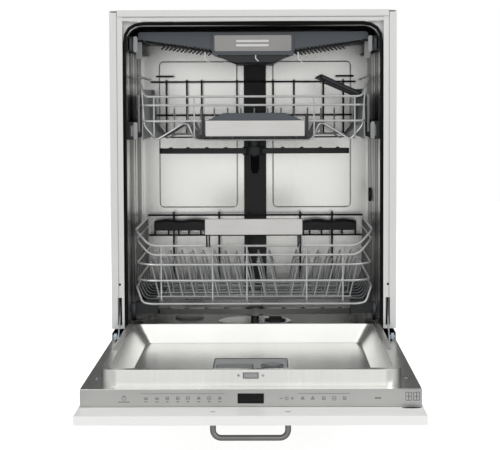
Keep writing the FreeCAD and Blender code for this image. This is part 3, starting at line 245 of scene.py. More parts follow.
# Lacquer sprayed on board: smooth white, so its slow pattern carries no relief.
white_lacquer = skin("white_lacquer_on_board", "#f6f6f4", "#f8f8f6", 60.0, (0.36, 0.4), 0)
# Blue-grey polypropylene with a leathery grain: the cutlery tray looks matt and deep.
slate_moulding = skin("slate_polypropylene", "#3f444a", "#4c5157", 0.9, (0.38, 0.52), 0.03)
# Near-black polypropylene: arms, feed pipe and grips swallow the light.
dark_moulding = skin("dark_polypropylene", "#1c1e20", "#26282b", 0.9, (0.4, 0.55), 0.03)
# Pale polypropylene: the pump and the basket sides look soft and chalky.
light_moulding = skin("light_grey_polypropylene", "#bdbebd", "#cdcecd", 1.0, (0.4, 0.55), 0.03)
# Mid-grey polypropylene for the detergent flap and the stem cradles.
grey_moulding = skin("mid_grey_polypropylene", "#6b6d6f", "#7c7e80", 0.9, (0.38, 0.5), 0.03)
# Nylon filled with glass fibre: black with a dry and coarser grain.
base_moulding = skin("glass_filled_nylon_black", "#17181a", "#232528", 1.4, (0.5, 0.65), 0.04)
# Rubber: a deep black with almost no sheen.
seal_rubber = skin(
    "epdm_rubber_black", "#08080a", "#101012", 0.7, (0.6, 0.75), 0.03, Specular_IOR_Level=0.15)
# Cast iron as it leaves the sand: dark, rough and uneven.
raw_iron = skin("raw_cast_iron", "#2d2d2e", "#47474a", 1.8, (0.6, 0.8), 0.15, metallic=0.6)
# Wire dipped in nylon: a smooth grey skin with a bright line along each bend.
wire_nylon = skin("nylon_coated_wire", "#b6b8b8", "#cccdcc", 0.8, (0.22, 0.34), 0.01, metallic=0.35)
# The tines wear the same skin, a little darker.
tine_nylon = skin("nylon_coated_tines", "#a4a6a7", "#b8babb", 0.8, (0.25, 0.38), 0.01, metallic=0.3)
# The rear wires are drawn nearly black as painted shade, and stand out against the bright wall.
shaded_rear_wire = skin("nylon_coated_wire_painted_shade", "#2b2c2d", "#3c3d3e", 0.8, (0.3, 0.42), 0.01, metallic=0.3)
# The basket floor wires lie in shade under the racks; their middle grey, between front and rear, is painted
# shade.
shaded_floor_wire = skin("nylon_coated_floor_wire_painted_shade", "#6f7172", "#888a8b", 0.8, (0.28, 0.4), 0.01, metallic=0.4)
# Stone-grey polypropylene for caps, catches and the latch.
stud_moulding = skin("stone_grey_polypropylene", "#8f9091", "#9fa0a1", 0.9, (0.4, 0.5), 0.03)
# Smoked acrylic: black, with a faint clear reflection.
smoked_window = skin(
    "smoked_acrylic_window", "#020203", "#040405", 2.0, (0.1, 0.16), 0.002, Specular_IOR_Level=0.25)
# Screen-print ink: flat, dark grey and dry.
print_ink = skin("screen_print_ink", "#4a4b4d", "#55575a", 0.6, (0.5, 0.6), 0.005)

finish_of_slot = {
    "casing_paint": casing_paint, "zinc_steel": zinc_steel, "base_plastic": base_moulding, "iron": raw_iron,
    "tub_steel": tub_steel, "seal_rubber": seal_rubber, "dark_plastic": dark_moulding,
    "pump_plastic": light_moulding, "door_steel": door_steel, "dark_glass": smoked_window,
    "dispenser_plastic": grey_moulding, "furniture_white": white_lacquer, "handle_steel": handle_steel,
    "tray_plastic": slate_moulding, "basket_wire": wire_nylon, "tine_wire": tine_nylon}
print(len(finish_of_slot), "finishes for", len(set(slot_of.values())), "slots")

# %% [markdown]
# ## Dressing the frame
# The frame gives each node a material slot, and each slot a plain colour.  Every node gets its
# slot's finish instead, apart from a few whose surface differs from the slot's others; the
# tub's walls and floor among them carry painted shade and painted reflection.

# %% Finish for every node
def dress(obj, finish):
    """Gives a piece one finish all over."""
    obj.data.materials.clear()
    obj.data.materials.append(finish)


# The tub's side walls and floor take steel with painted reflection and painted shade.
finish_of_node = {
    "tub_wrapper": painted_band_steel, "tub_floor": shaded_floor_steel, "front_rail": rail_paint,
    "dispenser_body": stud_moulding, "control_fascia": fascia_steel, "door_outer": fascia_steel,
    "basket_side_plates": light_moulding, "wheel_carriers": dark_moulding,
    "latch_housing": stud_moulding, "latch_bolt": stud_moulding, "feed_spine": dark_moulding,
    "upper_spray_arm": dark_moulding, "lower_spray_arm": door_steel, "feed_pipe": dark_moulding,
    "carriage_runners": stud_moulding, "door_handle": badge_steel}
for node_name, node_object in nodes.items():
    dress(node_object, finish_of_node.get(node_name, finish_of_slot[slot_of[node_name]]))
print("dressed", len(nodes), "nodes")

# %% [markdown]
# ## Working by hand
# The next helpers are the moves a modeller makes over and over: put down a block, pick some
# edges by where they lie, round them, and hand the finished piece to the body it moves with.

# %% Modelling helpers
SMOOTH_BELOW_DEGREES = 35
# Weighted normals keep a bevelled panel's flat faces flat.  Pieces with more faces than this
# are mostly bent wire, which is round all over and has nothing to gain from them.
PANEL_FACES = 12000


def clear():
    """Leaves edit mode and selects nothing, so that an operator meets only its own piece."""
    if bpy.context.object and bpy.context.object.mode != "OBJECT":
        bpy.ops.object.mode_set(mode="OBJECT")
    bpy.ops.object.select_all(action="DESELECT")


def take(obj):
    """Makes one object the only selected and active one."""
    clear()
    obj.select_set(True)
    bpy.context.view_layer.objects.active = obj


def named(name):
    """Names the object just added, and settles its place into its mesh."""
    obj = bpy.context.object
    obj.name = name
    obj.data.name = name
    bpy.ops.object.transform_apply(location=True, rotation=True, scale=True)
    return obj


def block(name, low, high):
    """A block between two corners, in millimetres."""
    clear()
    low, high = Vector(low) * MM, Vector(high) * MM
    bpy.ops.mesh.primitive_cube_add(size=1, location=(low + high) / 2, scale=high - low)
    return named(name)


def drum(name, centre, radius, depth, along="Z", sides=48):
    """A round bar centred on a point, in millimetres."""
    clear()
    turn = {"X": (0, math.pi / 2, 0), "Y": (math.pi / 2, 0, 0), "Z": (0, 0, 0)}[along]
    bpy.ops.mesh.primitive_cylinder_add(
        vertices=sides, radius=radius * MM, depth=depth * MM, location=Vector(centre) * MM, rotation=turn)
    return named(name)


def pick(obj, kind, test):
    """In edit mode, selects the faces or edges whose middle, in mm, and direction pass a test."""
    take(obj)
    bpy.ops.object.mode_set(mode="EDIT")
    bpy.ops.mesh.select_mode(type=kind)
    bpy.ops.mesh.select_all(action="DESELECT")
    mesh = bmesh.from_edit_mesh(obj.data)
    if kind == "FACE":
        for face in mesh.faces:
            face.select_set(bool(test(face.calc_center_median() / MM, face.normal)))
    else:
        for edge in mesh.edges:
            ends = [v.co for v in edge.verts]
            way = (ends[1] - ends[0]).normalized()
            edge.select_set(bool(test((ends[0] + ends[1]) / 2 / MM, way)))
    bmesh.update_edit_mesh(obj.data)


def round_edges(obj, width, segments, test):
    """Bevels the picked edges to a round of this width."""
    pick(obj, "EDGE", test)
    bpy.ops.mesh.bevel(offset=width * MM, segments=segments, affect="EDGES", profile=0.5)
    clear()


def soften(obj, width, segments=2, angle=30):
    """Rounds every sharp edge a little, as pressing and moulding do."""
    take(obj)
    rounding = obj.modifiers.new("rounding", "BEVEL")
    rounding.width = width * MM
    rounding.segments = segments
    rounding.limit_method = "ANGLE"
    rounding.angle_limit = math.radians(angle)
    bpy.ops.object.modifier_apply(modifier="rounding")


def hand_over(obj, body, slot, finish, *replaced):
    """Smooths and dresses a finished piece and lets it ride on its body."""
    take(obj)
    bpy.ops.object.shade_smooth_by_angle(angle=math.radians(SMOOTH_BELOW_DEGREES))
    if len(obj.data.polygons) < PANEL_FACES:
        even = obj.modifiers.new("even", "WEIGHTED_NORMAL")
        even.keep_sharp = True
        bpy.ops.object.modifier_apply(modifier="even")
    clear()
    dress(obj, finish)
    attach(obj, body)
    if replaced:
        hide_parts(*replaced)
    return obj


def merge(name, parts):
    """Joins several parts into one piece."""
    take(parts[0])
    for part in parts:
        part.select_set(True)
    bpy.ops.object.join()
    parts[0].name = name
    parts[0].data.name = name
    return parts[0]


# %% [markdown]
# ## Softened panels
# Folded sheet and mouldings never end in a knife edge.  The frame's meshes are loose
# triangles, so a copy is merged, its flat faces are joined, and its sharp edges are rounded
# with a bevel.  The copy then stands for the node, at exactly its size and place.

# %% Copies with rounded edges
SAME_POINT_MM = 0.01
FLAT_DEGREES = 1
EDGE_ROUNDS = {
    "side_panel_left": 0.5, "side_panel_right": 0.5, "front_rail": 0.8, "worktop_brackets": 0.3,
    "control_fascia": 0.9, "door_outer": 0.6, "door_inner": 1.2, "display_window": 0.3,
    "furniture_front": 1.6, "latch_housing": 0.4, "latch_bolt": 0.8, "dispenser_body": 0.7,
    "dispenser_flap": 0.6, "rinse_cap": 0.9, "tub_floor": 1.5, "tub_back": 0.6, "base_pan": 1.2,
    "counterweight": 3.0, "feed_spine": 1.5, "upper_spray_arm": 1.2, "lower_spray_arm": 1.2,
    "micro_filter": 0.6, "salt_cap": 1.0, "cutlery_tray": 0.6, "cup_shelf": 0.6,
    "basket_side_plates": 1.5, "wheel_carriers": 1.2, "front_wheels": 1.5, "rear_wheels": 1.5,
    "softener_tank": 3.0, "drain_pump": 1.5, "inlet_valve": 1.5, "circulation_pump": 1.5,
    "foot_front_left": 1.2, "foot_front_right": 1.2, "foot_rear": 1.2, "rack_guides": 0.5,
    "middle_guides": 0.4, "carriage_runners": 0.6, "back_panel": 0.3, "sump": 0.8}


def softened(node, width):
    """A merged copy of a node with its sharp edges rounded, which stands for the node."""
    clear()
    copy = bpy.data.objects.new(node + "_soft", nodes[node].data.copy())
    bpy.context.scene.collection.objects.link(copy)
    take(copy)
    bpy.ops.object.mode_set(mode="EDIT")
    bpy.ops.mesh.select_all(action="SELECT")
    bpy.ops.mesh.remove_doubles(threshold=SAME_POINT_MM * MM)
    bpy.ops.mesh.dissolve_limited(angle_limit=math.radians(FLAT_DEGREES))
    clear()
    soften(copy, width)
    return hand_over(copy, body_of[node], slot_of[node], nodes[node].data.materials[0], node)


panels = {node: softened(node, width) for node, width in EDGE_ROUNDS.items()}
print("softened", len(panels), "panels,", sum(len(p.data.polygons) for p in panels.values()), "faces")

# %% [markdown]
# ## Bent wire
# Dish racks are welded from coated steel wire.  Each wire is bent at a few places round a
# pin, so its path is a row of corner points whose corners are rounded by short arcs.  A
# curve with a round section follows the path and is then turned into a mesh.

# %% Wire helper
ARC_STEPS = 4
# A bend takes at most this share of the straight piece on each side of it.
BEND_SHARE = 0.48


def rounded_path(points, bend, closed):
    """The path through corner points, in mm, with each corner replaced by an arc of points."""
    points = [Vector(p) for p in points]
    count = len(points)
    path = []
    for i, here in enumerate(points):
        if not closed and i in (0, count - 1):
            path.append(here)
            continue
        before, after = points[i - 1] - here, points[(i + 1) % count] - here
        reach = min(bend, before.length * BEND_SHARE, after.length * BEND_SHARE)
        start, end = here + before.normalized() * reach, here + after.normalized() * reach
        for step in range(ARC_STEPS + 1):
            t = step / ARC_STEPS
            path.append(start * (1 - t) ** 2 + here * 2 * t * (1 - t) + end * t ** 2)
    return path


def wires(name, routes, radius, bend=8, closed=False):
    """One mesh of bent wires, each route a list of corner points in mm."""
    clear()
    curve = bpy.data.curves.new(name, "CURVE")
    curve.dimensions = "3D"
    curve.bevel_depth = radius * MM
    curve.bevel_resolution = 2
    curve.use_fill_caps = True
    for route in routes:
        path = rounded_path(route, bend, closed)
        spline = curve.splines.new("POLY")
        spline.points.add(len(path) - 1)
        for point, place in zip(spline.points, path):
            point.co = (*(place * MM), 1.0)
        spline.use_cyclic_u = closed
    wire = bpy.data.objects.new(name, curve)
    bpy.context.scene.collection.objects.link(wire)
    take(wire)
    bpy.ops.object.convert(target="MESH")
    return bpy.context.object


def both_sides(routes):
    """The routes and their mirror images in the middle plane."""
    return routes + [[(-x, y, z) for x, y, z in route] for route in routes]


# %% [markdown]
# ## Upper basket
# The rim dips at the front so that the cutlery tray passes over it, and climbs to the sides.
# Floor wires run front to back and turn up at both ends.  Cross wires rise in two humps
# beside the middle, where cups and stems lean, and stay flat where the tine row folds.

# %% Upper basket front
UPPER_ROD, UPPER_THIN = 2.4, 1.7
FRONT_Y, REAR_Y = 45, 478
UPPER_FLOOR = 548.2
upper_rim = wires("upper_rim", [[
    (-247, REAR_Y - 4, 676), (-247, 86, 680), (-229, FRONT_Y, 636), (229, FRONT_Y, 636), (247, 86, 680),
    (247, REAR_Y - 4, 676)]], UPPER_ROD, 10)
upper_levels = wires("upper_levels", [
    [(-x, REAR_Y, z), (-x, 66, z), (-229, FRONT_Y, z), (229, FRONT_Y, z), (x, 66, z), (x, REAR_Y, z)]
    for x, z in ((239, 618), (238, 584.5))], UPPER_ROD, 12)
upper_front = wires("upper_front", [
    [(x, FRONT_Y, 636), (x, FRONT_Y, UPPER_FLOOR), (x, 84, UPPER_FLOOR)]
    for x in (-210, -125, 128, 214)], UPPER_THIN, 10)
HUMP = [(236, 652), (231, 575), (205, 544.6), (149, 579), (139, 579), (124, 544.6)]
FLAT = [(236, 652), (231, 575), (205, 544.6)]


def cross_wire(y, shape):
    """A cross wire from side to side, with the same shape on both halves."""
    return [(x, y, z) for x, z in shape] + [(-x, y, z) for x, z in reversed(shape)]


first_cross = wires("first_cross", [cross_wire(50, HUMP)], UPPER_THIN, 8)
hand_over(merge("upper_basket_front_wires", [upper_rim, upper_levels, upper_front, first_cross]),
          "upper_rack", "basket_wire", wire_nylon, "upper_basket")
print("upper basket front made")

# %% [markdown]
# ### Stem cradles and basket floor
# A moulded cradle clips over each hump and holds glasses by the stem.  It could be drawn with
# its ribs, but little more than its leaning outline shows, so a block whose top is pushed
# sideways is enough.  The floor's cross wires repeat one shape at each place along the rack.

# %% Stem cradles and floor wires
HUMP_Y = (74, 98, 122, 146, 170, 194, 218, 256, 376, 424, 462)
FLAT_Y = 318
upper_cross = wires("upper_cross", [
    cross_wire(y, FLAT if y == FLAT_Y else HUMP) for y in sorted((*HUMP_Y, FLAT_Y))], UPPER_THIN, 8)
CRADLE_LEAN = 22
cradles = []
for sign in (-1, 1):
    cradle = block("cradle", (sign * 121 - 4, 54, 546), (sign * 121 + 4, 262, 577))
    pick(cradle, "FACE", lambda middle, way: way.z > 0.9)
    bpy.ops.transform.translate(value=(sign * CRADLE_LEAN * MM, 0, 0))
    clear()
    soften(cradle, 1.5)
    cradles.append(cradle)
hand_over(merge("stem_cradles", cradles), "upper_rack", "pump_plastic", grey_moulding)
upper_long = wires("upper_long", both_sides([
    [(x, 72, UPPER_FLOOR), (x, REAR_Y - 16, UPPER_FLOOR)] for x in (45, 92, 184, 207)]), UPPER_THIN)
# The floor wires' middle grey is painted shade.
hand_over(merge("upper_basket_floor_wires", [upper_cross, upper_long]),
          "upper_rack", "basket_wire", shaded_floor_wire)
print("upper basket:", len(cradles), "cradles and", len(HUMP_Y) + 1, "cross wires")

# %% [markdown]
# ### Back and sides of the upper basket
# The wires at the back are drawn darker, as painted shade.  A pale moulded plate fills each side
# between the wires; its corners are rounded first, and then all its edges are softened.

# %% Rear wires and side fills
upper_rear = wires("upper_rear", [
    [(-245, REAR_Y, 671), (237, REAR_Y, 671)], [(-232, REAR_Y, 593), (228, REAR_Y, 593)],
    [(-232, REAR_Y - 8, 684), (-190, REAR_Y - 8, 684)], [(190, REAR_Y - 8, 684), (232, REAR_Y - 8, 684)]] + [
    [(x, REAR_Y, 676), (x, REAR_Y, UPPER_FLOOR)] for x in (-208, -160, -125, -42, 43, 92, 161, 208)], 2.0)
# The rear wires' near-black is painted shade.
hand_over(upper_rear, "upper_rack", "basket_wire", shaded_rear_wire)
side_fills = []
for sign in (-1, 1):
    fill = block("side_fill", (sign * 236 - 1.2, 66, 545), (sign * 236 + 1.2, 440, 641))
    round_edges(fill, 14, 5, lambda middle, way: abs(way.x) > 0.9)
    soften(fill, 0.8)
    side_fills.append(fill)
hand_over(merge("basket_side_fills", side_fills), "upper_rack", "pump_plastic", light_moulding)
print("upper basket: rear wires and", len(side_fills), "side fills")

# %% [markdown]
# ## Cup shelf rim
# The folding cup shelf has a thick rounded rim, which is what shows from the front.  It is
# drawn as a bent bar round the thin shelf, at the slope at which the shelf rests.

# %% Cup shelf rim
# The shelf's outer and inner edge, as x and z.
SHELF_LOW, SHELF_HIGH = (229, 639), (145, 678)
shelf_rim = wires("cup_shelf_rim", [[
    (SHELF_HIGH[0], 308, SHELF_HIGH[1]), (SHELF_HIGH[0], 70, SHELF_HIGH[1]),
    (SHELF_LOW[0], 70, SHELF_LOW[1]), (SHELF_LOW[0], 308, SHELF_LOW[1])]], 5.0, 9)
shelf_lip = wires("shelf_lip", [[(152, 76, 670), (230, 76, 637)]], 7.5)
shelf_ribs = wires("shelf_ribs", [
    [(SHELF_HIGH[0], y, SHELF_HIGH[1]), (SHELF_LOW[0], y, SHELF_LOW[1])]
    for y in (76, 84, 92, 100, 108, 200)], 2.8)
hand_over(merge("cup_shelf_frame", [shelf_rim, shelf_lip, shelf_ribs]),
          "shelf", slot_of["cup_shelf"], dark_moulding)
print("cup shelf rim made")

# %% [markdown]
# ## Lower basket
# The lower basket is deeper and carries plates.  Its four level wires run round the front
# and both sides, and the two highest climb at the corners to the higher side rim.

# %% Lower basket front
LOWER_ROD, LOWER_THIN = 2.4, 1.8
LOWER_FLOOR, LOWER_BACK = 203, 470
# Each level wire: half width, y where it leaves the side, height in front, height at the side.
LEVELS = ((253, 72, 320, 352), (251, 72, 300.5, 333), (249, 58, 280, 283), (247, 58, 246, 247))
lower_loops = [
    [(-x, LOWER_BACK, top), (-x, y, top), (-221, FRONT_Y, z), (221, FRONT_Y, z), (x, y, top),
     (x, LOWER_BACK, top)]
    for x, y, z, top in LEVELS]
lower_levels = wires("lower_levels", lower_loops, LOWER_ROD, 16)
lower_front = wires("lower_front", [
    [(x, FRONT_Y, 320), (x, FRONT_Y, 200), (x, 90, 200)] for x in (-197, -88, -15, 112, 189)],
    LOWER_THIN, 10)
lower_foot = wires("lower_foot", [[
    (-249, 170, 238), (-250, 60, 232), (-238, 52, 199), (-221, 46, 196), (221, 46, 196), (238, 52, 199),
    (250, 60, 232), (249, 170, 238)]], LOWER_ROD, 8)
hand_over(merge("lower_basket_front_wires", [lower_levels, lower_front, lower_foot]),
          "lower_rack", "basket_wire", wire_nylon, "lower_basket")
print("lower basket front:", len(LEVELS), "level wires")

# %% [markdown]
# ### Floor and back of the lower basket
# Cross wires are bent like a tray and run up both sides.  Long wires lie over them; these floor
# wires are drawn a middle grey as painted shade.  The back is closed by upright wires drawn
# nearly black, also as painted shade.

# %% Lower basket floor and back
CROSS_START, CROSS_PITCH, CROSS_COUNT = 115, 54, 7
lower_long = wires("lower_long", [
    [(x, 74, LOWER_FLOOR), (x, 466, LOWER_FLOOR)]
    for x in (-197, -150, -108, -62, -15, 15, 62, 108, 150, 189)], LOWER_THIN)
lower_cross = wires("lower_cross", [
    [(252, y, 352), (250, y, 228), (236, y, 199.4), (-236, y, 199.4), (-250, y, 228), (-252, y, 352)]
    for y in [CROSS_START + CROSS_PITCH * i for i in range(CROSS_COUNT)]], LOWER_THIN, 10)
# The floor wires' middle grey is painted shade.
hand_over(merge("lower_basket_floor_wires", [lower_long, lower_cross]),
          "lower_rack", "basket_wire", shaded_floor_wire)
rear_y = LOWER_BACK - 2
lower_rear = wires("lower_rear", [
    [(-253, rear_y, 358), (253, rear_y, 358)], [(-251, rear_y, 311), (251, rear_y, 311)]] + [
    [(x, rear_y, 366), (x, rear_y, LOWER_FLOOR)] for x in (-192, -85, -14.5, 106, 181)], 2.3)
# These rear wires too are drawn near black as painted shade.
hand_over(lower_rear, "lower_rack", "basket_wire", shaded_rear_wire)
print("lower basket floor:", CROSS_COUNT, "cross wires")

# %% [markdown]
# ## Fixed tine rows
# Between the folding rows stand fixed ones, whose tines are single wires with a slight bend
# and a lean.  One row is listed once and set down at both places.

# %% Fixed tine rows
TINE_PITCH, TINE_LEAN = 25.4, 18
TINE_ROWS_Y = (192, 405)
# Left of the middle the tines lean one way, and right of it the other.
tine_x = [(-203.8 + TINE_PITCH * i, -TINE_LEAN) for i in range(11)]
tine_x += [(78 + TINE_PITCH * i, TINE_LEAN) for i in range(6)]
fixed_tines = wires("fixed_tine_rows", [
    [(x, y, LOWER_FLOOR), (x + lean * 0.4, y, 252), (x + lean, y, 281)]
    for y in TINE_ROWS_Y for x, lean in tine_x], LOWER_THIN, 14)
tine_bars = wires("fixed_tine_bars", [[(-212, y, 204), (212, y, 204)] for y in TINE_ROWS_Y], 2.0)
hand_over(merge("lower_fixed_tines", [fixed_tines, tine_bars]), "lower_rack", "tine_wire", tine_nylon)
print("fixed tines:", len(TINE_ROWS_Y) * len(tine_x))

# %% [markdown]
# ## Wavy glass rests
# Along the back of the lower basket lie two moulded rests whose wavy top edge holds glasses
# upright.  A plate and a bent bar with swinging corner points give that edge.

# %% Glass rests
rests = []
WAVE = 31
for sign in (-1, 1):
    low_x, high_x = sorted((sign * 111, sign * 238))
    rests.append(block("rest_plate", (low_x, 459, 322), (high_x, 463, 342)))
    soften(rests[-1], 0.8)
rests.append(wires("rest_top", both_sides([
    [(113 + WAVE * i, 461, 347 if i % 2 else 341.5) for i in range(5)]]), 3.4, 12))
rests.append(wires("rest_feet", both_sides([
    [(x, 461, 311), (x, 461, 323)] for x in (113, 128, 156, 180, 204, 236)]), 2.2))
hand_over(merge("glass_rests", rests), "lower_rack", "dark_plastic", dark_moulding)
print("glass rests made of", len(rests), "parts")

# %% [markdown]
# ## Basket handles
# Each handle is a moulded grip with a brushed steel plate clipped over its face.  The plate
# is a block.  Its four corners, as seen from the front, are rounded first, and then its rim is
# softened all round.  The upper grip narrows towards its top, so its top face is drawn in.

# %% Handles
def faced_plate(name, low, high, corner):
    """A steel plate with rounded corners seen from the front and a softened rim."""
    plate = block(name, low, high)
    round_edges(plate, corner, 4, lambda middle, way: abs(way.y) > 0.9)
    soften(plate, 0.8)
    return plate


def trapezoid_grip(name, low, high, draw_in):
    """A grip whose top is narrower than its foot."""
    grip = block(name, low, high)
    pick(grip, "FACE", lambda middle, way: way.z > 0.9)
    narrowing = (high[0] - draw_in) / high[0]
    bpy.ops.transform.resize(
        value=(narrowing, 0.8, 1), center_override=(0, (low[1] + high[1]) / 2 * MM, high[2] * MM))
    clear()
    soften(grip, 2.0, 3)
    return grip


upper_plate = faced_plate("upper_handle_plate", (-101, 33, 552.4), (108, 38, 585.6), 1.5)
hand_over(upper_plate, "upper_rack", "handle_steel", handle_steel)
upper_back = faced_plate("upper_back", (-102, 38, 552), (109, 43, 586), 2)
upper_grip = trapezoid_grip("upper_grip", (-99, 33.5, 585), (105, 47, 601.5), 38)
hand_over(merge("upper_handle_grip", [upper_back, upper_grip]),
          "upper_rack", "dark_plastic", slate_moulding, "upper_handle")
posts = [block("post", (x - 3.4, 38, 548), (x + 3.4, 44, 600)) for x in (-106, 113)]
for post in posts:
    soften(post, 1.2)
hand_over(merge("upper_handle_posts", posts), "upper_rack", "dark_plastic", dark_moulding)
lower_plate = faced_plate("lower_handle_plate", (-103, 32.2, 344.4), (103, 37, 377.6), 1.5)
hand_over(lower_plate, "lower_rack", "handle_steel", handle_steel)
lower_back = faced_plate("lower_back", (-104.5, 37, 344), (104.5, 42.2, 378), 3)
lower_legs = wires("lower_leg", [
    [(x, 40, 350), (x, 40, 318)] for x in (-99.5, -94, 94, 99.5)], LOWER_THIN)
hand_over(merge("lower_handle_grip", [lower_back, lower_legs]),
          "lower_rack", "dark_plastic", dark_moulding, "lower_handle")
print("handles: two plates, two grips")

# %% [markdown]
# ## Door seal
# A hollow rubber gasket runs up one side of the opening, over the top and down the other.
# Its round bulb is squeezed by the closed door, and a thin lip holds it in its channel.

# %% Door seal
SEAL_FOOT = 149


def arch(name, half, y, top, radius, bend):
    """A bar up one side of the opening, over the top and down the other."""
    return wires(name, [[
        (-half, y, SEAL_FOOT), (-half, y, top), (half, y, top), (half, y, SEAL_FOOT)]], radius, bend)


seal_bulb = arch("seal_bulb", 268.2, 7.6, 788.2, 3.2, 40)
seal_lip = arch("seal_lip", 266.9, 11, 785.6, 1.5, 38)
sill_strip = block("sill_strip", (-260, 13, 130), (260, 21, 133))
soften(sill_strip, 0.8)
hand_over(merge("seal_gasket", [seal_bulb, seal_lip, sill_strip]),
          "cabinet", "seal_rubber", seal_rubber, "door_seal")
print("seal made")

# %% [markdown]
# ## Cutlery tray front
# The tray's pull carries a stainless plate in a dark surround.  Its two white slots are the
# grip's openings seen against the light.

# %% Tray pull
tray_low, tray_high = corners("tray_handle")
surround = faced_plate("surround", (tray_low.x, tray_low.y + 0.8, tray_low.z), tray_high, 3)
hand_over(surround, "tray", slot_of["tray_handle"], slate_moulding, "tray_handle")
pull_plate = faced_plate("tray_pull_plate", (-81.5, tray_low.y, 731), (80.5, tray_low.y + 2.4, 765), 4)
hand_over(pull_plate, "tray", "handle_steel", badge_steel)
slots = [faced_plate("slot", (-36, tray_low.y - 0.4, z), (33, tray_low.y + 1, z + 5), 2) for z in (741, 750)]
hand_over(merge("tray_pull_slots", slots), "tray", "casing_paint", casing_paint)
print("tray pull at", [round(v, 1) for v in tray_low])

# %% [markdown]
# ## Under the tray
# Below the pull the tray's open underside shows as a dark funnel with a row of small combs,
# which hold cutlery from the other side; the near-black plate in the funnel is painted shade.
# A few white hooks hang from its front edge.

# %% Painted shade plate, combs and hooks
# A near-black plate where the tray's underside lies in shade: painted shade.
shade_plate = block("tray_shade_plate", (-86, 43.6, 708), (86, 44.8, 722.4))
pick(shade_plate, "FACE", lambda middle, way: way.z < -0.9)
bpy.ops.transform.resize(value=(0.47, 1, 1), center_override=(0, 0.0442, 0.708))
clear()
COMB_COUNT, COMB_START, COMB_PITCH = 13, 92, 8.2
# The tray's underside climbs this much for each millimetre away from the middle.
TRAY_SLOPE = 0.135
combs = []
for sign in (-1, 1):
    for i in range(COMB_COUNT):
        x = COMB_START + i * COMB_PITCH
        z = 735 + (x - 87) * TRAY_SLOPE
        combs.append([(sign * x, 58, z), (sign * (x - 4), 58, z - 8), (sign * (x + 4), 58, z - 13)])
teeth = wires("teeth", combs, 1.8, 3)
keel = wires("keel", [[
    (-228, 60, 752), (-88, 60, 731), (-39, 60, 706), (39, 60, 706), (88, 60, 731), (228, 60, 752)]], 1.8, 6)
hand_over(merge("tray_combs", [shade_plate, teeth, keel]), "tray", "dark_plastic", base_moulding)
hooks = wires("tray_hooks", [
    [(x, 44, 729), (x - 1, 42.5, 716), (x + 4, 43, 711), (x + 8, 48, 709)] for x in (-101, 6, 95)], 1.3, 4)
hand_over(hooks, "tray", "casing_paint", casing_paint)
print("tray apron, combs and hooks made")

# %% [markdown]
# ## Marks on the control panel
# The marks are screen printed.  They could be drawn in the panel's colour, but as thin pieces
# of their own they stay sharp from near by, and a tenth of a millimetre keeps them clear of
# the steel.  Plain rings, outlines and bars stand for symbols.

# %% Tools for marks
FASCIA_Y = corners("control_fascia")[0].y
MARK_PROUD = 0.12
INK_LINE = 0.42


def bar(x0, x1, z0, z1):
    """A printed bar."""
    return block("mark", (x0, FASCIA_Y - MARK_PROUD, z0), (x1, FASCIA_Y + 0.2, z1))


def polygon(x, z, radius, sides, start=0.0):
    """Corner points on the panel's face, evenly round a centre."""
    turns = [start + 2 * math.pi * i / sides for i in range(sides)]
    return [(x + radius * math.cos(turn), FASCIA_Y, z + radius * math.sin(turn)) for turn in turns]


def ring(x, z, radius, width):
    """A printed ring: a closed loop of fine wire, half sunk in the panel."""
    return wires("mark", [polygon(x, z, radius, 12)], width / 2, 3, closed=True)


def outline_mark(x, z, half, sides):
    """A printed outline, square or triangular or nearly round."""
    start = math.pi / 4 if sides == 4 else math.pi / 2
    return wires("mark", [polygon(x, z, half, sides, start)], INK_LINE, 0.3, closed=True)


print("marks lie at y =", round(FASCIA_Y, 2))

# %% [markdown]
# ### The rows of marks
# Left of the window stand the on key and eight programmes, right of it a minus, a clock and a
# plus, five options and the start key.  Each programme is a small outline with a dash below.

# %% Control marks
# An x and a number of sides; two sides stand for a mark of two bars.
PROGRAMMES = ((-181, 2), (-162, 2), (-144, 4), (-126, 4), (-108.7, 12), (-89.7, 3), (-71.6, 12), (-53.5, 3))
OPTIONS = ((89.7, 3), (107, 3), (126, 4), (144, 12), (162, 4))
GRID_X = (272.6, 286)
on_key = [ring(-219, 116.2, 3.6, 0.8), bar(-219.5, -218.5, 116.2, 121), bar(-229, -209, 109.2, 110.4)]
long_lines = [bar(-190, -45, 123.7, 124.3), bar(81, 171, 123.7, 124.3)]
clock_keys = [bar(49.8, 55.2, 115.4, 116.4), bar(69, 74.4, 115.4, 116.4), bar(71.2, 72.2, 113.2, 118.6),
              ring(62, 115.6, 2.7, 0.8)]
marks = on_key + long_lines + clock_keys + [bar(214, 225, 115, 117)]
for x, sides in PROGRAMMES:
    if sides == 2:
        marks += [bar(x - 4, x + 4, 116, 117.2), bar(x - 3, x + 3, 113.6, 114.6)]
    else:
        marks += [outline_mark(x, 116.2, 3.2, sides), bar(x - 1.6, x + 1.6, 115.6, 116.6)]
    marks.append(bar(x - 2.6, x + 2.6, 109.4, 110.5))
for x, sides in OPTIONS:
    marks += [outline_mark(x, 115.8, 3.4, sides), bar(x - 1.5, x + 1.5, 115.2, 116.2)]
for x in GRID_X:
    grid = [(x - 5, FASCIA_Y, 112), (x + 5, FASCIA_Y, 112), (x + 5, FASCIA_Y, 126), (x - 5, FASCIA_Y, 126)]
    marks += [wires("mark", [grid], 0.5, 0.5, closed=True), bar(x - 0.6, x + 0.6, 113, 125),
              bar(x - 3.4, x + 3.4, 118.4, 119.4)]
hand_over(merge("control_marks", marks), "door", "dark_plastic", print_ink)
print("control marks:", len(marks))

# %% [markdown]
# ## Screws
# Two small screws hold the latch, and flat ones the door's pressed edge.  The latch screws have
# a round socket, made by an inset of the front face that is then pushed in.

# %% Screws
SCREW_DEEP = 2.0


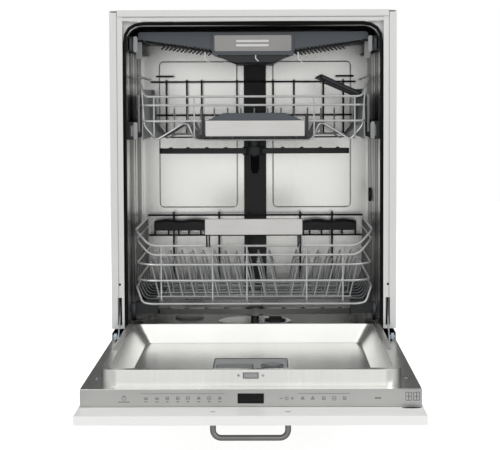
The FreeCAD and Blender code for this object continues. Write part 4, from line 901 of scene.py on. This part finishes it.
def screw(centre, radius):
    """A pan-head screw facing forwards, with a sunk round socket."""
    head = drum("screw", centre, radius, SCREW_DEEP, "Y", 32)
    soften(head, 0.5)
    front = centre[1] - SCREW_DEEP / 2
    pick(head, "FACE", lambda middle, way: way.y < -0.9 and abs(middle.y - front) < 0.1)
    bpy.ops.mesh.inset(thickness=radius * 0.45 * MM)
    bpy.ops.mesh.extrude_region_move(TRANSFORM_OT_translate={"value": (0, 0.9 * MM, 0)})
    clear()
    return head


latch_screws = [screw((x, -652.2, 151.5), 2.6) for x in (-21.2, 21.2)]
hand_over(merge("latch_screws", latch_screws), "door", "zinc_steel", zinc_steel)
edge_screws = []
for x in (-277, 277):
    for y in (-560, -330, -90):
        edge_screws.append(drum("edge_screw", (x, y, 132.4), 3.4, 1.6, "Z", 32))
        soften(edge_screws[-1], 0.6)
hand_over(merge("edge_screws", edge_screws), "door", "zinc_steel", zinc_steel)
print("screws:", len(latch_screws), "at the latch,", len(edge_screws), "in the edges")

# %% [markdown]
# ## Runner caps and catches
# The ends of the runners are closed by rounded moulded caps, which travel with the tray and
# with the basket's carriage.  A fixed catch on each tub wall stops the tray.

# %% Runner caps and catches
def end_cap(x, z0, z1):
    """A rounded cap on the front end of a runner."""
    cap = block("cap", (x - 4.4, 27.6, z0), (x + 4.4, 29.8, z1))
    round_edges(cap, 4.2, 5, lambda middle, way: abs(way.y) > 0.9)
    soften(cap, 0.6)
    return cap


hand_over(merge("tray_runner_caps", [end_cap(x, 729, 763) for x in (-246.6, 245.5)]),
          "tray", "pump_plastic", stud_moulding)
hand_over(merge("basket_runner_caps", [end_cap(x, 546, 583) for x in (-248, 251)]),
          "carriage", "pump_plastic", stud_moulding)
catches = []
for sign in (-1, 1):
    catch = block("catch", (sign * 241.5 - 6.5, 58, 716), (sign * 241.5 + 6.5, 63, 752))
    round_edges(catch, 3, 3, lambda middle, way: abs(way.y) > 0.9)
    soften(catch, 0.8)
    catches.append(catch)
hand_over(merge("tray_catches", catches), "cabinet", "pump_plastic", stud_moulding)
print("caps and", len(catches), "catches made")

# %% [markdown]
# ## Vent, grooves and port inside the tub
# A round vent cap sits on the right-hand wall.  On the back wall each pressed panel ends in a
# groove, which catches shade; a fine bent bar along it draws that line.  The port is the
# spine's outlet slot; a black plate in it is painted shade for the opening.

# %% Details on the tub walls
vent = drum("wall_vent_cap", (262, 336, 413), 16, 6, "X", 40)
soften(vent, 1.4, 3)
hand_over(vent, "cabinet", "dark_plastic", dark_moulding)

grooves = wires("back_wall_grooves", both_sides([
    [(43, 502.9, 375.5), (225, 502.9, 375.5), (225, 502.9, 718), (43, 502.9, 718)]]), 0.9, 9, closed=True)
hand_over(grooves, "cabinet", "tub_steel", painted_band_steel)
# A black plate in the outlet slot: painted shade.
port = block("spine_port_shade_plate", (-7, 488.3, 455), (7, 489.2, 495))
soften(port, 0.3)
hand_over(port, "cabinet", "dark_plastic", seal_rubber)
print("vent, grooves and port made")

# %% [markdown]
# ## Rail gap shade, wing caps and gussets
# Over the opening runs a folded rail with a shadow gap, closed at its ends by small dark caps;
# a stone-grey strip in the gap is painted shade.
# The upper corners of the opening are stiffened by triangular gussets.  Each is a plate that
# a slanting bisect cuts to its triangle.

# %% Rail and corners
# A stone-grey strip under the rail band: painted shade in the shadow gap.
rail_gap_shade = block("rail_gap_shade", (-272, -1.9, 800.4), (272, -0.8, 802))
soften(rail_gap_shade, 0.5)
hand_over(rail_gap_shade, "cabinet", "dark_plastic", stud_moulding)
wing_caps = [block("wing_cap", (x - 6.6, -0.4, 811), (x + 6.6, 6, 813.4)) for x in (-289.4, 289.4)]
for wing_cap in wing_caps:
    soften(wing_cap, 0.6)
hand_over(merge("wing_caps", wing_caps), "cabinet", "dark_plastic", dark_moulding)

rail_band = block("rail_band", (-283, -1.6, 802.6), (283, -0.9, 815.8))
soften(rail_band, 0.3)
hand_over(rail_band, "cabinet", "casing_paint", casing_paint)
GUSSET_X, GUSSET_Z = 256, 776.5
gussets = []
for sign in (-1, 1):
    x = sign * GUSSET_X
    gusset = block("gusset", (x - 16, 12.3, GUSSET_Z - 16.5), (x + 16, 13.3, GUSSET_Z + 16.5))
    pick(gusset, "FACE", lambda middle, way: True)
    bpy.ops.mesh.bisect(
        plane_co=(x * MM, 12.8 * MM, GUSSET_Z * MM), plane_no=(sign, 0, 1), use_fill=True, clear_inner=True)
    clear()
    gussets.append(gusset)
hand_over(merge("corner_gussets", gussets), "cabinet", "casing_paint", casing_paint)
print("rail trim, band,", len(wing_caps), "caps and", len(gussets), "gussets made")

# %% [markdown]
# ## Dark oval on the board
# A dark oval lies on the board's top, close under the panel.  It is an oval: a drum squeezed
# along one axis about its own centre.

# %% Dark oval
OVAL_X, OVAL_Y = 277, -689
lens = drum("dark_oval_on_board", (OVAL_X, OVAL_Y, 100.7), 17, 0.3, "Z", 40)
pick(lens, "FACE", lambda middle, way: True)
bpy.ops.transform.resize(value=(1, 0.4, 1), center_override=(OVAL_X * MM, OVAL_Y * MM, 0))
clear()
hand_over(lens, "front", "dark_glass", seal_rubber)
print("status light lens made")

# %% [markdown]
# ## Folds of the casing
# The casing's front wings are folded back on themselves, which leaves a fine upright step; the dark grey
# strip along it is painted shade.

# %% Wing folds
# Stone-grey strips at the folds: painted shade.
folds = [block("wing_fold_shade", (x - 0.5, -0.35, 149), (x + 0.5, 0.5, 811)) for x in (-283.9, 283.9)]
hand_over(merge("wing_fold_shades", folds), "cabinet", "casing_paint", stud_moulding)
print("folds:", len(folds))

# %% [markdown]
# ## Door dish: rim strips and dispenser outline
# Strips of plain steel finish the sides of the dish's rim.  A fine dark line round the dispenser
# and its two lids is the gap that their edges leave.

# %% Rim strips and outline
rim_strips = []
for sign in (-1, 1):
    strip = block("rim_strip", (sign * 257.5 - 4.5, -420, 161.3), (sign * 257.5 + 4.5, -22, 162.3))
    soften(strip, 0.4)
    rim_strips.append(strip)
hand_over(merge("dish_rim_strips", rim_strips), "door", "door_steel", handle_steel)
outline = wires("dispenser_outline", [
    [(-73, -439, 126.7), (67, -439, 126.7), (67, -283, 126.7), (-73, -283, 126.7)],
    [(-67, -421, 126.9), (1, -421, 126.9), (1, -365, 126.9), (-67, -365, 126.9)],
    [(18, -400, 126.9), (58, -400, 126.9), (58, -360, 126.9), (18, -360, 126.9)]], 1.0, 6, closed=True)
hand_over(outline, "door", "dark_plastic", dark_moulding)
print("rim strips:", len(rim_strips), "and one outline")

# %% [markdown]
# ## Sound-deadening mat
# A built-in machine has no lid: the worktop covers it.  A soft bitumen mat lies on the tub's
# steel top and stops it from ringing.  Bitumen is as black and dry as the base's moulding, so
# it shares that finish.

# %% Mat on the tub
mat = block("sound_mat", (-229, 18, 784.1), (229, 496, 787.1))
round_edges(mat, 12, 4, lambda middle, way: abs(way.z) > 0.9)
soften(mat, 0.8)
hand_over(mat, "cabinet", "seal_rubber", base_moulding)
print("mat made")

# %% [markdown]
# ## Floor, light and camera
# A pale floor, a white surround and large soft lights give the even look of a catalogue
# studio.  The floor shines a little by itself, which keeps it white to the horizon, and it is
# left out of mirrors and of bounced light, so that the steel and the undersides keep depth.

# %% Floor
FLOOR_WIDE, FLOOR_GAP, FLOOR_GLOW = 14, 0.0005, 0.66
clear()
bpy.ops.mesh.primitive_plane_add(size=FLOOR_WIDE, location=(0, 0, cad_box[0].z - FLOOR_GAP))
floor = named("floor")
floor_paint, _, floor_shader, _ = start_finish("studio_floor", Roughness=0.8)
floor_shader.inputs["Base Color"].default_value = linear("#fbfbfb")
floor_shader.inputs["Emission Color"].default_value = linear("#ffffff")
floor_shader.inputs["Emission Strength"].default_value = FLOOR_GLOW
dress(floor, floor_paint)
floor.visible_glossy = False
floor.visible_diffuse = False
print("floor at z =", round(cad_box[0].z - FLOOR_GAP, 4))

# %% [markdown]
# ### Light
# The room is brighter in front of the machine than behind it, as a studio is, and that fall
# gives the brushed steel its light and dark.  Seen directly, the surround is plain white.
# The lamps behind are for the back views and are left out of mirrors.

# %% Light
ROOM_FRONT, ROOM_BACK = 0.62, 0.1
world = bpy.data.worlds.new("studio")
bpy.context.scene.world = world
world.use_nodes = True
sky = world.node_tree
room = sky.nodes["Background"]
room.inputs["Color"].default_value = linear("#ffffff")
way = add(sky, "ShaderNodeSeparateXYZ", {
    "Vector": add(sky, "ShaderNodeTexCoord").outputs["Generated"]})
fall = add(sky, "ShaderNodeMapRange", {
    "Value": way.outputs["Y"], "From Min": -0.3, "From Max": 0.5,
    "To Min": ROOM_FRONT, "To Max": ROOM_BACK})
sky.links.new(fall.outputs[0], room.inputs["Strength"])
backdrop = add(sky, "ShaderNodeBackground", {"Color": linear("#ffffff"), "Strength": 1.0})
seen = add(sky, "ShaderNodeLightPath").outputs["Is Camera Ray"]
either = add(sky, "ShaderNodeMixShader", {0: seen, 1: room.outputs[0], 2: backdrop.outputs[0]})
sky.links.new(either.outputs[0], sky.nodes["World Output"].inputs["Surface"])
bpy.context.scene.view_settings.view_transform = "Standard"


def softbox(name, place, aim, size, watts, mirrored=True):
    """A large square light at one point, aimed at another, in metres, seen in mirrors or not."""
    light = bpy.data.lights.new(name, "AREA")
    light.size = size
    light.energy = watts
    lamp = bpy.data.objects.new(name, light)
    lamp.location = place
    lamp.visible_glossy = mirrored
    lamp.rotation_euler = (Vector(aim) - Vector(place)).to_track_quat("-Z", "Y").to_euler()
    bpy.context.scene.collection.objects.link(lamp)


softbox("key", (-1.6, -3.0, 2.6), (0, 0, 0.4), 1.8, 32)
softbox("fill", (2.0, -2.8, 1.6), (0, 0, 0.4), 1.8, 22)
softbox("front", (0.1, -5.4, 1.0), (0, 0, 0.45), 3.2, 15)
softbox("top", (0, -0.3, 3.0), (0, 0, 0), 2.2, 13)
softbox("rear", (1.6, 3.4, 2.2), (0, 0.3, 0.4), 2.0, 40, mirrored=False)
softbox("rear_left", (-2.4, 2.8, 1.8), (0, 0.3, 0.4), 2.0, 30, mirrored=False)
print("lights made")

# %% [markdown]
# ### Camera
# The camera stands far off with a long lens, a little above the machine, and is turned by three
# small angles.  Its axes are worked out from the angles and set as one matrix.

# %% Camera
YAW, PITCH, ROLL = 0.01067, 0.07089, -0.0037
LENS_LONG = 128.74
CAMERA_PLACE = (0.0325, -3.7369, 0.6328)
forward = Vector((-math.sin(YAW) * math.cos(PITCH), math.cos(YAW) * math.cos(PITCH), -math.sin(PITCH)))
level = Vector((math.cos(YAW), math.sin(YAW), 0))
upward = level.cross(forward)
right = math.cos(ROLL) * level + math.sin(ROLL) * upward
up = math.cos(ROLL) * upward - math.sin(ROLL) * level
lens_data = bpy.data.cameras.new("camera")
lens_data.lens = LENS_LONG
lens_data.clip_end = 30
camera = bpy.data.objects.new("camera", lens_data)
turn = Matrix((right, up, -forward)).transposed().to_4x4()
camera.matrix_world = Matrix.Translation(CAMERA_PLACE) @ turn
bpy.context.scene.collection.objects.link(camera)
bpy.context.scene.camera = camera
print("camera looks along", [round(v, 4) for v in forward])
